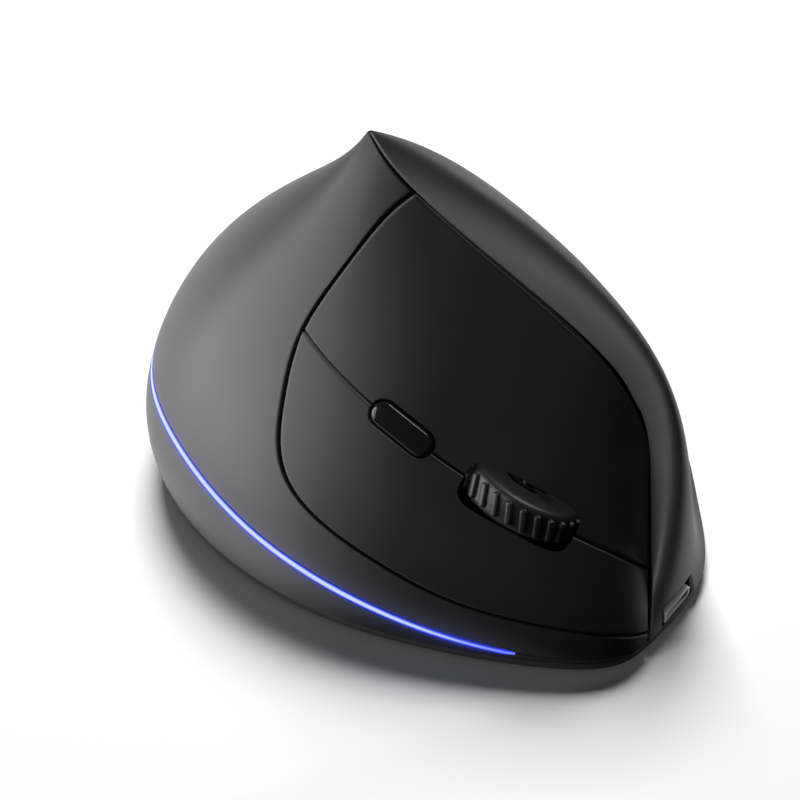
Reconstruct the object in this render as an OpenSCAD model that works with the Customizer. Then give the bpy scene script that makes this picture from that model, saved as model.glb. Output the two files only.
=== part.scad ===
// Right-handed vertical mouse: moulded shells over a chassis, two main buttons that rock on a
// pivot rod, a scroll wheel that spins and clicks, a sensitivity button, two thumb buttons, a
// light line along the palm and a charging port at the front.
// +X is the finger side, +Y the front and +Z up. The origin is on the desk, under the middle.

/* [Body] */
// Overall width of the body
body_w = 73.9; // [70:0.1:80]
// Overall length of the body
body_l = 100.9; // [97:0.1:110]
// Height of the crest above the desk
body_h = 69.5; // [67:0.5:76]
// Thickness of the moulded shells
wall = 2; // [1.6:0.1:2.3]
// Gap at the seams between neighbouring shells
seam = 0.5; // [0.4:0.05:0.7]
// Width of the groove along the front edge of the main buttons
groove = 1; // [0.9:0.05:1.4]

/* [Scroll wheel] */
// Distance of the wheel's middle from the front edge, along the split between the buttons
wheel_at = 26.5; // [25.5:0.5:28]
// Wheel diameter over the ribs
wheel_d = 22; // [21:0.5:22.5]
// Width of the tyre
tyre_w = 5.2; // [4.6:0.2:5.4]
// Height of the tyre's ribs
rib_h = 0.7; // [0.4:0.1:0.9]
// Number of ribs round the tyre
rib_n = 26; // [18:1:30]
// Slant of the ribs across the tyre
rib_slant = 24; // [0:1:30]
// How far the wheel stands out of its slot
wheel_out = 4.2; // [4:0.1:4.3]
// Lean of the axle out of the button face
wheel_lean = 22; // [16:1:23]
// Length of the wheel slot
wheel_slot_l = 19.5; // [19.3:0.1:20]
// Width of the wheel slot
wheel_slot_w = 7.5; // [7.4:0.1:8]
// Diameter of the wheel's axle
axle_d = 2.5; // [2:0.25:2.75]
// Depth of the wheel's click
click = 0.5; // [0.3:0.1:0.6]

/* [Sensitivity button] */
// Distance of the button's middle from the front edge, along the split
dpi_at = 48; // [47.5:0.5:49]
// Length of the button
dpi_l = 12.4; // [11:0.2:13]
// Width of the button
dpi_w = 4.2; // [3.6:0.1:4.8]
// How far the button stands out of the face
dpi_out = 0.8; // [0.7:0.1:1.2]
// Gap round the button
dpi_gap = 0.4; // [0.35:0.05:0.5]

/* [Thumb buttons] */
// Length of the opening for the pair
thumb_pair_l = 30; // [26:0.5:32]
// Height of the opening at its middle
thumb_pair_h = 8.4; // [7.4:0.2:9.4]
// How far the thumb buttons stand out of the shell
thumb_out = 1.2; // [0.8:0.1:1.6]
// Gap round the thumb buttons
thumb_gap = 0.4; // [0.3:0.05:0.5]
// Travel of the thumb buttons and of the sensitivity button
press = 0.6; // [0.4:0.1:0.7]

/* [Light line] */
// Width of the light line
light_w = 1.5; // [1:0.1:2]

/* [Base] */
// Thickness of the skates under the bottom cover
skate_t = 0.6; // [0.4:0.1:1]
// Thickness of the bottom cover
base_t = 1.8; // [1.4:0.1:2.2]
// Thickness of the chassis floor
floor_t = 1.4; // [1.2:0.1:1.8]
// Gap between the bottom cover and the shells
base_gap = 0.2; // [0.1:0.05:0.4]
// Diameter of the screws
screw_d = 2; // [1.8:0.1:2.4]
// Diameter of the screw heads
screw_head_d = 3.8; // [3.4:0.1:4.2]
// Outside diameter of the screw bosses
boss_d = 5.6; // [5:0.2:7]

/* [Boards and switches] */
// Thickness of the circuit boards
board_t = 1.2; // [1:0.1:1.6]
// Height of the main board above the chassis floor
board_lift = 2.6; // [2.4:0.1:3.2]
// Diameter of the pivot rod of the main buttons
rod_d = 2.5; // [2:0.1:3]
// Running clearance of shafts in their bores, on the radius
run = 0.05; // [0.03:0.01:0.1]
// Length of the main switches
switch_l = 12.8; // [11:0.1:13.5]
// Width of the main switches
switch_w = 5.8; // [5:0.1:6.2]
// Height of the main switches without their plungers
switch_h = 5.6; // [5:0.1:6]
// Battery width, length and height
battery = [32, 18, 6]; // [4:1:36]
// Width of the charging port's metal shell
port_w = 7.6; // [7:0.1:9]
// Height of the charging port's metal shell
port_h = 2.6; // [2.4:0.1:3.2]

/* [Hidden] */
$fn = 48;
eps = 0.01;
rest_gap = 0.2;

// Form cage in millimetres at the nominal size, from the front edge round to the rear seam
cage_size = [73.9, 100.9, 69.5];
cage_middle = [3.5, -4.2];
peak = [1, -16, 69.5];
ridge_cage = [[5, 34.5, 26.5], [5, 30, 40.5], [4, 4, 55], [4, -11, 65], peak, peak, peak, peak];
right_cage = [
    [23, 43], [31, 40], [38, 16], [41, -9], [35, -32.5], [21.5, -50.5], [-7, -55.5], [-24, -47]
];
left_cage = [
    [23, 43], [6, 48.5], [-8, 40.5], [-24, 33], [-33, 19], [-34, -6], [-31, -30], [-24, -47]
];

// Handles of each station's profile: at the ridge [out, down, ahead], at the rim [out, up]
right_top = [
    [6, 13, 0], [8, 18, 0], [8.5, 23, 0], [8, 26, 0], [8, 26.5, 0], [8.5, 24, 0], [10.5, 20, 0],
    [11.5, 19.5, 0]
];
right_foot = [
    [0, 4], [2.5, 11.5], [5, 18], [7, 23.5], [9.5, 27], [9.5, 29.5], [8.5, 32.5], [6, 31.5]
];
left_top = [
    [6, 13, 0], [16, -12, 0], [25, -13.5, 4.5], [24, -5, 5.5], [20.5, 4.5, 6.5], [13.5, 11.5, 4],
    [11.5, 15.5, 2], [11.5, 19.5, 0]
];
left_foot = [
    [0, 4], [-4.5, 8.5], [-11, 8], [-14, 10.5], [-15, 12.5], [-13, 14.5], [-6, 20.5], [6, 31.5]
];

// Seams on the right skin as [round, down] shares: the palm seam, the split and the light line
palm_cage = [
    [0, 0.865], [0.095, 0.8], [0.28, 0.815], [0.355, 0.745], [0.48, 0.675], [0.505, 0.5], [0.54, 0.36],
    [0.485, 0.145], [0.4, 0]
];
palm_corner = 0.73;
split_cage = [[0, 0.495], [0.235, 0.505], [0.375, 0.425], spline(palm_cage, palm_corner)];
light_down = [0.94, 0.96, 0.965, 0.88, 0.815, 0.745, 0.775, 0.8, 0.82];
light_front = 0.243;
light_rear = 0.9;
light_taper = [0.012, 0.04];
light_gap = 0.1;
thumb_down = 0.45;
thumb_round = 0.56;
port_round = 0.064;

base_top = skate_t + base_t;
floor_top = base_top + floor_t;
rim_z = base_top + base_gap;
stretch = [body_w / cage_size.x, body_l / cage_size.y, body_h / cage_size.z];
reach = (stretch.x + stretch.y) / 2;

function mix(a, b, f) = a + (b - a) * f;
function limit(x) = min(1, max(0, x));
function ease(from, to, x) = let (f = limit((x - from) / (to - from))) f * f * (3 - 2 * f);
function unit(p) = p / norm(p);
function flat(lists) = [for (list = lists) each list];
function steps(from, to, n) = [for (i = [0:n]) mix(from, to, i / n)];

// Point at t (0 to 1) on a smooth curve that starts and ends on its end points
function spline(c, t) =
    let (
        n = len(c) - 1,
        s = limit(t) * n,
        i = min(floor(s), n - 1),
        f = s - i,
        before = i == 0 ? 2 * c[0] - c[1] : c[i - 1],
        after = i + 2 > n ? 2 * c[n] - c[n - 1] : c[i + 2]
    )
    (before * pow(1 - f, 3) + c[i] * (3 * pow(f, 3) - 6 * f * f + 4)
        + c[i + 1] * (3 * f + 3 * f * f - 3 * pow(f, 3) + 1) + after * pow(f, 3)) / 6;

function sized(p) = [
    (p.x - cage_middle.x) * stretch.x, (p.y - cage_middle.y) * stretch.y, p.z * stretch.z
];
function sized_rim(cage) = [for (p = cage) let (q = sized([p.x, p.y, 0])) [q.x, q.y]];
function sized_top(cage) = [for (h = cage) [h.x * reach, h.y * stretch.z, h.z * stretch.y]];
function sized_foot(cage) = [for (h = cage) [h.x * reach, h.y * stretch.z]];

ridge = [for (p = ridge_cage) sized(p)];
right = [sized_rim(right_cage), sized_top(right_top), sized_foot(right_foot), 1];
left = [sized_rim(left_cage), sized_top(left_top), sized_foot(left_foot), -1];

// Point of a side's skin: v runs round from front to rear, u runs down from ridge to rim
function skin(side, v, u) =
    let (
        r = spline(ridge, v),
        rim = spline(side[0], v),
        b = [rim.x, rim.y, rim_z],
        e = unit([b.x - r.x, b.y - r.y, 0]),
        top = spline(side[1], v),
        foot = spline(side[2], v),
        p1 = r + top[0] * e + [0, top[2], -top[1]],
        p2 = b + foot[0] * e + [0, 0, foot[1]]
    )
    pow(1 - u, 3) * r + 3 * pow(1 - u, 2) * u * p1 + 3 * (1 - u) * u * u * p2 + pow(u, 3) * b;

function skin_q(side, q) = skin(side, q[0], q[1]);

function normal(side, v, u) =
    let (
        h = 0.004,
        w = max(u, 0.02),
        along = skin(side, min(v + h, 1), w) - skin(side, max(v - h, 0), w),
        down = skin(side, v, min(w + h, 1)) - skin(side, v, w - h)
    )
    side[3] * unit(cross(along, down));

// Inner faces of the shells; towards the peak they start further down, so that the sides never cross
function tip(v) = 0.15 * ease(0.35, 0.6, v);
function under(q) = q[1] + tip(q[0]) * pow(max(0, 1 - q[1] / 0.4), 2);
function level(n, u) = unit([n.x, n.y, n.z * (1 - ease(0.8, 1, u))]);
function right_inner(q) =
    let (u = under(q))
    skin(right, q[0], u) - wall * level(normal(right, q[0], u), u);
function low_front(u) = 1 - ease(0.45, 0.85, u);
function left_inward(v, u) =
    let (
        own = normal(left, v, u),
        at_ridge = mix(normal(right, v, 0), own, max(ease(0, 0.12, u), 1 - ease(0.03, 0.1, v))),
        at_front = mix(normal(right, 0, u), at_ridge, max(ease(0, 0.06, v), low_front(u)))
    )
    level(mix(normal(right, 1, u), at_front, ease(0, 0.06, 1 - v)), u);
function left_inner(q) =
    let (
        u = under(q),
        lip = mix(0.3, 1, max(ease(0.05, 0.3, q[0]), 1 - low_front(u)))
    )
    skin(left, q[0], u) - lip * wall * left_inward(q[0], u);

// Share of a skin that a distance in millimetres takes down it
function down_share(side, q, mm) =
    mm * 0.02 / norm(skin(side, q[0], q[1] + 0.01) - skin(side, q[0], q[1] - 0.01));

// Table of [distance run, share] along a curve on the skin, given its points and their shares
function run_table(points, shares) = [
    for (i = 0, s = 0; i < len(points); s = s + (i + 1 < len(points)
        ? norm(points[i + 1] - points[i]) : 0), i = i + 1) [s, shares[i]]
];
curve_shares = steps(0, 1, 48);
split_table = run_table(
    [for (t = curve_shares) skin_q(right, spline(split_cage, t))], curve_shares);
split_l = split_table[len(split_table) - 1][0];
function split_at(s) = spline(split_cage, lookup(s, split_table));

// Edge of a main button along the split
function split_edge(side_sign) = [
    for (s = steps(0, split_l, 22))
        let (q = split_at(s)) q + [0, side_sign * down_share(right, q, seam / 2)]
];
function slot_steps(at, l, n) = [for (i = [0:n]) at - l / 2 * cos(180 * i / n)];

// Patch of shares between four edges, each a list of points
function patch(top, bottom, front, rear) =
    let (m = len(top) - 1, n = len(front) - 1)
    [for (i = [0:m]) let (a = i / m)
        [for (j = [0:n]) let (b = j / n)
            mix(top[i], bottom[i], b) + mix(front[j], rear[j], a)
                - mix(mix(top[0], top[m], a), mix(bottom[0], bottom[m], a), b)]];

// Moves a patch's edges in by a distance: [front, rear, top, bottom]
function pull(side, q, to, mm) =
    mm == 0 ? q : mix(q, to, min(0.8, mm / norm(skin_q(side, to) - skin_q(side, q))));
function inset(side, g, mm) =
    let (
        m = len(g) - 1,
        n = len(g[0]) - 1,
        rows = [for (c = g) [for (j = [0:n])
            j == 0 ? pull(side, c[0], c[1], mm[2])
                : j == n ? pull(side, c[n], c[n - 1], mm[3]) : c[j]]]
    )
    [for (i = [0:m]) [for (j = [0:n])
        i == 0 ? pull(side, rows[0][j], rows[1][j], mm[0])
            : i == m ? pull(side, rows[m][j], rows[m - 1][j], mm[1]) : rows[i][j]]];

// Closed wall between an outer and an inner grid; cells in the open blocks are left out
module wall_between(outer, inner, flip = false, open = []) {
    m = len(outer) - 1;
    n = len(outer[0]) - 1;
    inner_start = (m + 1) * (n + 1);
    function o(i, j) = i * (n + 1) + j;
    function k(i, j) = inner_start + o(i, j);
    function shut(i, j) = i < 0 || j < 0 || i >= m || j >= n || len([
        for (b = open) if (i >= b[0] && i < b[1] && j >= b[2] && j < b[3]) b]) > 0;
    quads = [for (i = [0:m - 1]) for (j = [0:n - 1]) if (!shut(i, j)) each concat(
        [[o(i, j), o(i, j + 1), o(i + 1, j + 1), o(i + 1, j)]],
        [[k(i, j), k(i + 1, j), k(i + 1, j + 1), k(i, j + 1)]],
        shut(i - 1, j) ? [[o(i, j + 1), o(i, j), k(i, j), k(i, j + 1)]] : [],
        shut(i, j + 1) ? [[o(i + 1, j + 1), o(i, j + 1), k(i, j + 1), k(i + 1, j + 1)]] : [],
        shut(i + 1, j) ? [[o(i + 1, j), o(i + 1, j + 1), k(i + 1, j + 1), k(i + 1, j)]] : [],
        shut(i, j - 1) ? [[o(i, j), o(i + 1, j), k(i + 1, j), k(i, j)]] : [])];
    faces = [for (q = quads) each flip
        ? [[q[0], q[2], q[1]], [q[0], q[3], q[2]]]
        : [[q[0], q[1], q[2]], [q[0], q[2], q[3]]]];
    polyhedron(concat(flat(outer), flat(inner)), faces);
}

module right_wall(g, flip = false) {
    wall_between(
        [for (c = g) [for (q = c) skin_q(right, q)]],
        [for (c = g) [for (q = c) right_inner(q)]], flip);
}

// Light line: its stops round the body, its middle, and half the opening left for it
light_run = concat([light_front - light_taper[0]], steps(light_front, light_rear, 24),
    [light_rear + light_taper[1]]);
light_stops = concat(
    [for (i = [0:6]) light_run[0] * i / 7], light_run,
    [for (i = [1:3]) mix(light_rear + light_taper[1], 1, i / 3)]);
function light_mid(v) = [v, spline(light_down, v)];
function light_half(v) = mix(
    seam / 2, light_w / 2 + light_gap,
    ease(light_front - light_taper[0], light_front, v)
        * ease(1 - light_rear - light_taper[1], 1 - light_rear, 1 - v));
function light_edge(v, side_sign) =
    let (q = light_mid(v)) q + [0, side_sign * down_share(right, q, light_half(v))];

function ridge_half(v) = mix(groove, seam, ease(0, 0.35, v)) / 2;

module palm_shell() {
    turn = 10;
    rear_down = light_edge(1, -1)[1];
    outer_edge = concat(
        [for (u = steps(0, rear_down, turn)) [1, u]],
        [for (i = [len(light_stops) - 2:-1:0]) light_edge(light_stops[i], -1)]);
    cols = len(outer_edge) - 1;
    inner_edge = [for (t = steps(1, 0, cols)) spline(palm_cage, t)];
    rows = 11;
    g = patch(inner_edge, outer_edge,
        [for (b = steps(0, 1, rows)) mix(inner_edge[0], outer_edge[0], b)],
        [for (b = steps(0, 1, rows)) mix(inner_edge[cols], outer_edge[cols], b)]);
    color("#2b2b2d") right_wall(inset(right, g, [seam / 2, groove / 2, seam / 2, 0]), true);
}

module left_button() {
    bottom = split_edge(-1);
    cols = len(bottom) - 1;
    top = [for (a = steps(0, palm_cage[len(palm_cage) - 1][0], cols)) [a, 0]];
    rows = 14;
    g = patch(top, bottom,
        [for (b = steps(0, 1, rows)) mix(top[0], bottom[0], b)],
        [for (t = steps(1, palm_corner, rows)) spline(palm_cage, t)]);
    color("#232325") difference() {
        right_wall(inset(right, g, [groove / 2, seam / 2, groove / 2, 0]));
        wheel_opening();
        dpi_opening();
    }
}

module right_button() {
    top = split_edge(1);
    cols = len(top) - 1;
    bottom = [for (t = steps(0, palm_corner, cols)) spline(palm_cage, t)];
    rows = 11;
    g = patch(top, bottom,
        [for (b = steps(0, 1, rows)) mix(top[0], bottom[0], b)],
        [for (b = steps(0, 1, rows)) mix(top[cols], bottom[cols], b)]);
    color("#232325") difference() {
        right_wall(inset(right, g, [groove / 2, seam, 0, seam / 2]));
        wheel_opening();
        dpi_opening();
    }
}

module skirt() {
    rows = 4;
    g = [for (v = light_stops)
        let (q = light_edge(v, 1)) [for (b = steps(0, 1, rows)) [v, mix(q[1], 1, b)]]];
    color("#262628") right_wall(inset(right, g, [groove / 2, seam / 2, 0, 0]));
}

module light_strip() {
    g = [for (v = light_run)
        let (q = light_mid(v), h = down_share(right, q, light_half(v) - light_gap))
        [for (b = [-1, 0, 1]) q + [0, b * h]]];
    color("#3f6fff") right_wall(g);
}

// Thumb side: shares along the row of thumb buttons, by distance behind the pair's middle
thumb_shares = steps(0.2, 0.95, 60);
thumb_table = run_table([for (v = thumb_shares) skin(left, v, thumb_down)], thumb_shares);
thumb_mid = lookup(thumb_round, [for (row = thumb_table) [row[1], row[0]]]);
function thumb_v(s) = lookup(thumb_mid + s, thumb_table);
function thumb_half(s) =
    let (x = min(1, abs(s) / (thumb_pair_l / 2)) * 0.985)
    thumb_pair_h / 2 * pow(1 - pow(x, 3), 1 / 3);

// Charging port: the share down the skin at a height, and its frame, with its first axis to the
// right across the front and its second axis out
port_gap = 0.6;
port_z = base_top + rest_gap;
port_heights = [for (u = steps(1, 0.6, 24)) [skin(left, port_round, u).z, u]];
function port_down(z) = lookup(z, port_heights);
port_n = normal(left, port_round, port_down(port_z + port_h / 2));
port_out = unit([port_n.x, port_n.y, 0]);
port_face = skin(left, port_round, port_down(port_z + port_h));
port_side = [port_out.y, -port_out.x, 0];
port_sides = [for (v = steps(0.2, 0, 40)) [(left_inner([v, 0.95]) - port_face) * port_side, v]];
function port_turn(x) = lookup(x, port_sides);
function port_over(v) = lookup(
    port_z + port_h + port_gap, [for (u = steps(1, 0.6, 24)) [left_inner([v, u]).z, u]]);

module left_wall(g, flip = true, open = []) {
    wall_between(
        [for (c = g) [for (q = c) skin_q(left, q)]],
        [for (c = g) [for (q = c) left_inner(q)]], flip, open);
}

module thumb_shell() {
    port_v = [port_turn(port_w / 2 + port_gap), port_turn(-port_w / 2 - port_gap)];
    hole = slot_steps(0, thumb_pair_l, 12);
    hole_v = [thumb_v(-thumb_pair_l / 2), thumb_v(thumb_pair_l / 2)];
    cols = concat(
        [for (v = steps(0, port_v[0], 2)) [v, -thumb_pair_l]],
        [for (v = steps(port_v[0], port_v[1], 3)) if (v > port_v[0]) [v, -thumb_pair_l]],
        [for (v = steps(port_v[1], hole_v[0], 9)) if (v > port_v[1]) [v, -thumb_pair_l]],
        [for (s = hole) if (s > hole[0]) [thumb_v(s), s]],
        [for (v = steps(hole_v[1], 1, 12)) if (v > hole_v[1]) [v, thumb_pair_l]]);
    top_rows = 9;
    hole_rows = 3;
    low_rows = 7;
    rim_rows = 2;
    g = [for (c = cols)
        let (
            v = c[0],
            port_u = port_over(max(port_v[0], min(port_v[1], v))),
            h = down_share(left, [v, thumb_down], thumb_half(c[1])),
            start = down_share(left, [v, 0.02], ridge_half(v))
        )
        [for (u = concat(
            steps(start, thumb_down - h, top_rows),
            [for (i = [1:hole_rows]) mix(thumb_down - h, thumb_down + h, i / hole_rows)],
            [for (i = [1:low_rows]) mix(thumb_down + h, port_u, i / low_rows)],
            [for (i = [1:rim_rows]) mix(port_u, 1, i / rim_rows)])) [v, u]]];
    hole_row = top_rows + hole_rows;
    port_row = hole_row + low_rows;
    color("#2b2b2d") left_wall(inset(left, g, [groove / 2, seam / 2, 0, 0]), true,
        [[14, 26, top_rows, hole_row], [2, 5, port_row, port_row + rim_rows]]);
}

// One thumb button between two distances behind the pair's middle
module thumb_button(from, to) {
    g = [for (s = steps(from, to, 9))
        let (v = thumb_v(s), h = down_share(left, [v, thumb_down], thumb_half(s) - thumb_gap))
        [for (b = steps(-1, 1, 5)) [v, thumb_down + b * h]]];
    wall_between(
        [for (c = g) [for (q = c) skin_q(left, q) + thumb_out * normal(left, q[0], q[1])]],
        [for (c = g) [for (q = c) skin_q(left, q) - wall * normal(left, q[0], q[1])]], true);
}
module forward_button() {
    color("#1c1c1e") thumb_button(-thumb_pair_l / 2 + thumb_gap, -thumb_gap / 2);
}
module back_button() {
    color("#1c1c1e") thumb_button(thumb_gap / 2, thumb_pair_l / 2 - thumb_gap);
}

// Places children in a frame: first axis along the run, third axis out of the skin
module framed(o, t, n) {
    w = cross(n, t);
    multmatrix([
        [t.x, w.x, n.x, o.x], [t.y, w.y, n.y, o.y], [t.z, w.z, n.z, o.z], [0, 0, 0, 1]
    ]) children();
}
function square_to(run, n) = unit(run - (run * n) * n);

// Button face frame at the wheel: first axis ahead along the split, second up the face
wheel_q = split_at(wheel_at);
face_o = skin_q(right, wheel_q);
face_n = normal(right, wheel_q[0], wheel_q[1]);
function split_run(s) = skin_q(right, split_at(s - 4)) - skin_q(right, split_at(s + 4));
face_t = square_to(split_run(wheel_at), face_n);
face_w = cross(face_n, face_t);
function in_face(p) = let (d = p - face_o) [d * face_t, d * face_w, d * face_n];
function from_face(p) = face_o + p.x * face_t + p.y * face_w + p.z * face_n;
module on_face() framed(face_o, face_t, face_n) children();

// Shares of the skin over a place in the face frame, and the height of the wall's inside there
function face_shares(at, q, n) =
    n == 0 ? q : let (
        h = 0.01,
        p = in_face(skin_q(right, q)),
        pv = (in_face(skin_q(right, q + [h, 0])) - p) / h,
        pu = (in_face(skin_q(right, q + [0, h])) - p) / h,
        turn = pv.x * pu.y - pv.y * pu.x,
        e = [at.x - p.x, at.y - p.y]
    )
    face_shares(at, q + [e.x * pu.y - e.y * pu.x, pv.x * e.y - pv.y * e.x] / turn, n - 1);
function face_inside(at) = in_face(right_inner(face_shares(at, wheel_q, 6))).z;

// Levels below the face, from the lever arms down to the switch board
arm_t = 1.6;
arm_top = -7;
arm_low = arm_top - arm_t;
plunger_h = 0.7;
switch_top = arm_low - rest_gap - plunger_h;
board_top = switch_top - switch_h;
board_low = board_top - board_t;
rod_at = [-28.5, -9.2];
knuckle_d = rod_d + 2.2;
left_switch_at = [1.5, 14.5];
right_switch_at = [-5, -8.8];
plunger_ahead = 3;
plunger_d = 1.8;
plunger_in = 0.9;
tact = [6, 6, 3.5];
tact_plunger_d = 3;
tact_plunger_h = 0.8;
tact_top = board_top + tact.z + tact_plunger_h;

module box_on(at, size, z) {
    translate([at.x - size.x / 2, at.y - size.y / 2, z]) cube(size);
}
module tact_body() {
    box_on([0, 0], tact, 0);
    cylinder(h = tact.z + tact_plunger_h, d = tact_plunger_d);
}

// Wheel frame: second axis is the axle's, third axis points out of the slot
wheel_aside = -0.4;
module on_wheel() {
    on_face() translate([0, wheel_aside, 0]) rotate([wheel_lean, 0, 0])
        translate([0, 0, wheel_out - wheel_d / 2]) children();
}
module along_axle() rotate([90, 0, 0]) children();

// Openings in the main buttons; the wheel's is longer at the inside, where the wheel is longer
slot_taper = [0.8, 0.4];
slot_depth = 2 * wall;
function slot_points(half) = [
    for (a = [0:15:345])
        [sign(cos(a)) * half.x * sqrt(abs(cos(a))), sign(sin(a)) * half.y * sqrt(abs(sin(a)))]
];
module wheel_opening() {
    half = [wheel_slot_l, wheel_slot_w] / 2;
    low = half + slot_depth * slot_taper;
    high = half - slot_depth * slot_taper;
    on_face() translate([0, 0, -slot_depth])
        linear_extrude(2 * slot_depth, scale = [high.x / low.x, high.y / low.y])
            polygon(slot_points(low));
}
module dpi_shape(size, low, high) {
    q = split_at(dpi_at);
    n = normal(right, q[0], q[1]);
    framed(skin_q(right, q), square_to(split_run(dpi_at), n), n) {
        for (x = [-1, 1]) translate([x * (size.x - size.y) / 2, 0, low])
            cylinder(h = high - low, d = size.y);
        box_on([0, 0], [size.x - size.y, size.y, high - low], low);
    }
}
module dpi_opening() {
    dpi_shape([dpi_l, dpi_w] + 2 * [dpi_gap, dpi_gap], -slot_depth, slot_depth);
}
rim_t = 2;
hub_d = wheel_d - 2 * rib_h - 2 * rim_t;
tyre_edge = 0.8;
cheek_gap = 0.4;
cheek_t = 1.2;
cheek_edge = 1;
cheek_y = tyre_w / 2 + cheek_gap;
fork_low = -wheel_d / 2 - 1.2;
fork_floor = 1.6;
encoder_d = 8;
encoder_t = 2.6;

module wheel_tyre() {
    rib_w = 1.1;
    rib_l = tyre_w - tyre_edge;
    core_d = wheel_d - 2 * rib_h;
    color("#151515") on_wheel() along_axle() difference() {
        union() {
            cylinder(h = tyre_w - 2 * tyre_edge, d = core_d, center = true);
            for (z = [0, 1]) mirror([0, 0, z]) translate([0, 0, tyre_w / 2 - tyre_edge])
                cylinder(h = tyre_edge, d1 = core_d, d2 = core_d - 2 * tyre_edge);
            for (i = [0:rib_n - 1]) rotate(360 * i / rib_n)
                translate([core_d / 2 - 0.4, 0, 0]) rotate([rib_slant, 0, 0])
                    translate([0, -rib_w / 2, -rib_l / 2]) cube([rib_h + 0.4, rib_w, rib_l]);
        }
        cylinder(h = tyre_w + 2 * wall, d = hub_d, center = true);
    }
}
module wheel_hub() {
    color("#1d1d1f") on_wheel() along_axle() difference() {
        cylinder(h = tyre_w, d = hub_d, center = true);
        cylinder(h = tyre_w + 2 * wall, d = axle_d, center = true);
        for (z = [-1, 1]) translate([0, 0, z * tyre_w / 2]) difference() {
            cylinder(h = 2, d = hub_d - 2.4, center = true);
            cylinder(h = 3, d = axle_d + 3, center = true);
        }
    }
}
module wheel_axle() {
    color("silver") on_wheel() along_axle()
        translate([0, 0, -cheek_y - cheek_t])
            cylinder(h = 2 * (cheek_y + cheek_t) + encoder_t, d = axle_d);
}
module wheel_fork() {
    color("#3a3a3d") on_wheel() difference() {
        union() {
            for (y = [-cheek_y - cheek_t, cheek_y]) translate([0, y, 0]) {
                translate([-axle_d / 2 - cheek_edge, 0, fork_low])
                    cube([axle_d + 2 * cheek_edge, cheek_t, -fork_low]);
                translate([0, cheek_t, 0]) along_axle() cylinder(h = cheek_t, d = axle_d + 2 * cheek_edge);
            }
            translate([-axle_d / 2 - cheek_edge, -cheek_y - cheek_t, fork_low - fork_floor])
                cube([axle_d + 2 * cheek_edge, 2 * (cheek_y + cheek_t), fork_floor]);
        }
        along_axle() cylinder(h = 4 * cheek_y, d = axle_d + 2 * run, center = true);
    }
}
module encoder() {
    color("#2f4f3a") on_wheel() translate([0, -cheek_y - cheek_t, 0]) along_axle()
        difference() {
            cylinder(h = encoder_t, d = encoder_d);
            translate([0, 0, -1]) cylinder(h = encoder_t + 2, d = axle_d + 2 * run);
        }
}
click_top = fork_low - fork_floor - rest_gap - click;
click_low = click_top - tact.z - tact_plunger_h;
module click_switch() {
    color("#222") on_wheel() translate([0, 0, click_low]) tact_body();
}

module dpi_button() {
    at = in_face(skin_q(right, split_at(dpi_at)));
    stem_d = 2.6;
    color("#0c0c0e") {
        dpi_shape([dpi_l, dpi_w], -wall - 0.4, dpi_out);
        on_face() translate([at.x, at.y, tact_top + rest_gap + press])
            cylinder(h = at.z - wall - tact_top - rest_gap - press, d = stem_d);
    }
}
module dpi_switch() {
    at = in_face(skin_q(right, split_at(dpi_at)));
    color("#222") on_face() translate([at.x, at.y, board_top]) tact_body();
}

// Lever under a main button: knuckle on the rod, arm over the switch, posts up to the shell
module lever(w, arm_w, knuckle_from, knuckle_to, arm_to, posts) {
    on_face() difference() {
        union() {
            translate([rod_at[0], knuckle_to, rod_at[1]]) along_axle()
                cylinder(h = knuckle_to - knuckle_from, d = knuckle_d);
            translate([rod_at[0], w - arm_w / 2, arm_low])
                cube([arm_to - rod_at[0], arm_w, arm_t]);
            for (t = posts) translate([t, w, arm_low])
                cylinder(h = face_inside([t, w]) - 2 * rest_gap - arm_low, d = 2);
        }
        translate([rod_at[0], knuckle_to + 1, rod_at[1]]) along_axle()
            cylinder(h = knuckle_to - knuckle_from + 2, d = rod_d + 2 * run);
    }
}
ear_t = 2.4;
ear_w = [-2.4, 18.5];
side_play = 0.3;
module left_lever() {
    color("#38383b") lever(left_switch_at[1], 5, ear_w[1] - 8.4, ear_w[1] - side_play,
        left_switch_at[0] + plunger_ahead + 2, [-17, left_switch_at[0] + plunger_ahead]);
}
module right_lever() {
    color("#38383b") lever(right_switch_at[1], 4.4, ear_w[0] - side_play - 8.4,
        ear_w[0] - side_play, right_switch_at[0] + plunger_ahead + 2,
        [-17, right_switch_at[0] + plunger_ahead]);
}
module pivot_rod() {
    from = ear_w[0] - side_play - 8.4 - side_play;
    to = ear_w[1] + ear_t;
    color("silver") on_face() translate([rod_at[0], to, rod_at[1]]) along_axle() {
        cylinder(h = to - from, d = rod_d);
        translate([0, 0, to - from]) cylinder(h = 0.8, d = rod_d + 1.4);
    }
}
module pivot_bracket() {
    ear_l = 4.4;
    pad_t = 1.2;
    color("#3a3a3d") on_face() difference() {
        union() {
            translate([rod_at[0] - 3.4, ear_w[0], board_top])
                cube([6.4, ear_w[1] + ear_t - ear_w[0], pad_t]);
            for (y = ear_w) {
                translate([rod_at[0] - ear_l / 2, y, board_top])
                    cube([ear_l, ear_t, rod_at[1] - board_top]);
                translate([rod_at[0], y + ear_t, rod_at[1]]) along_axle()
                    cylinder(h = ear_t, d = ear_l);
            }
        }
        translate([rod_at[0], ear_w[1] + 2 * ear_t, rod_at[1]]) along_axle()
            cylinder(h = ear_w[1] + 3 * ear_t - ear_w[0], d = rod_d);
    }
}
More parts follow.
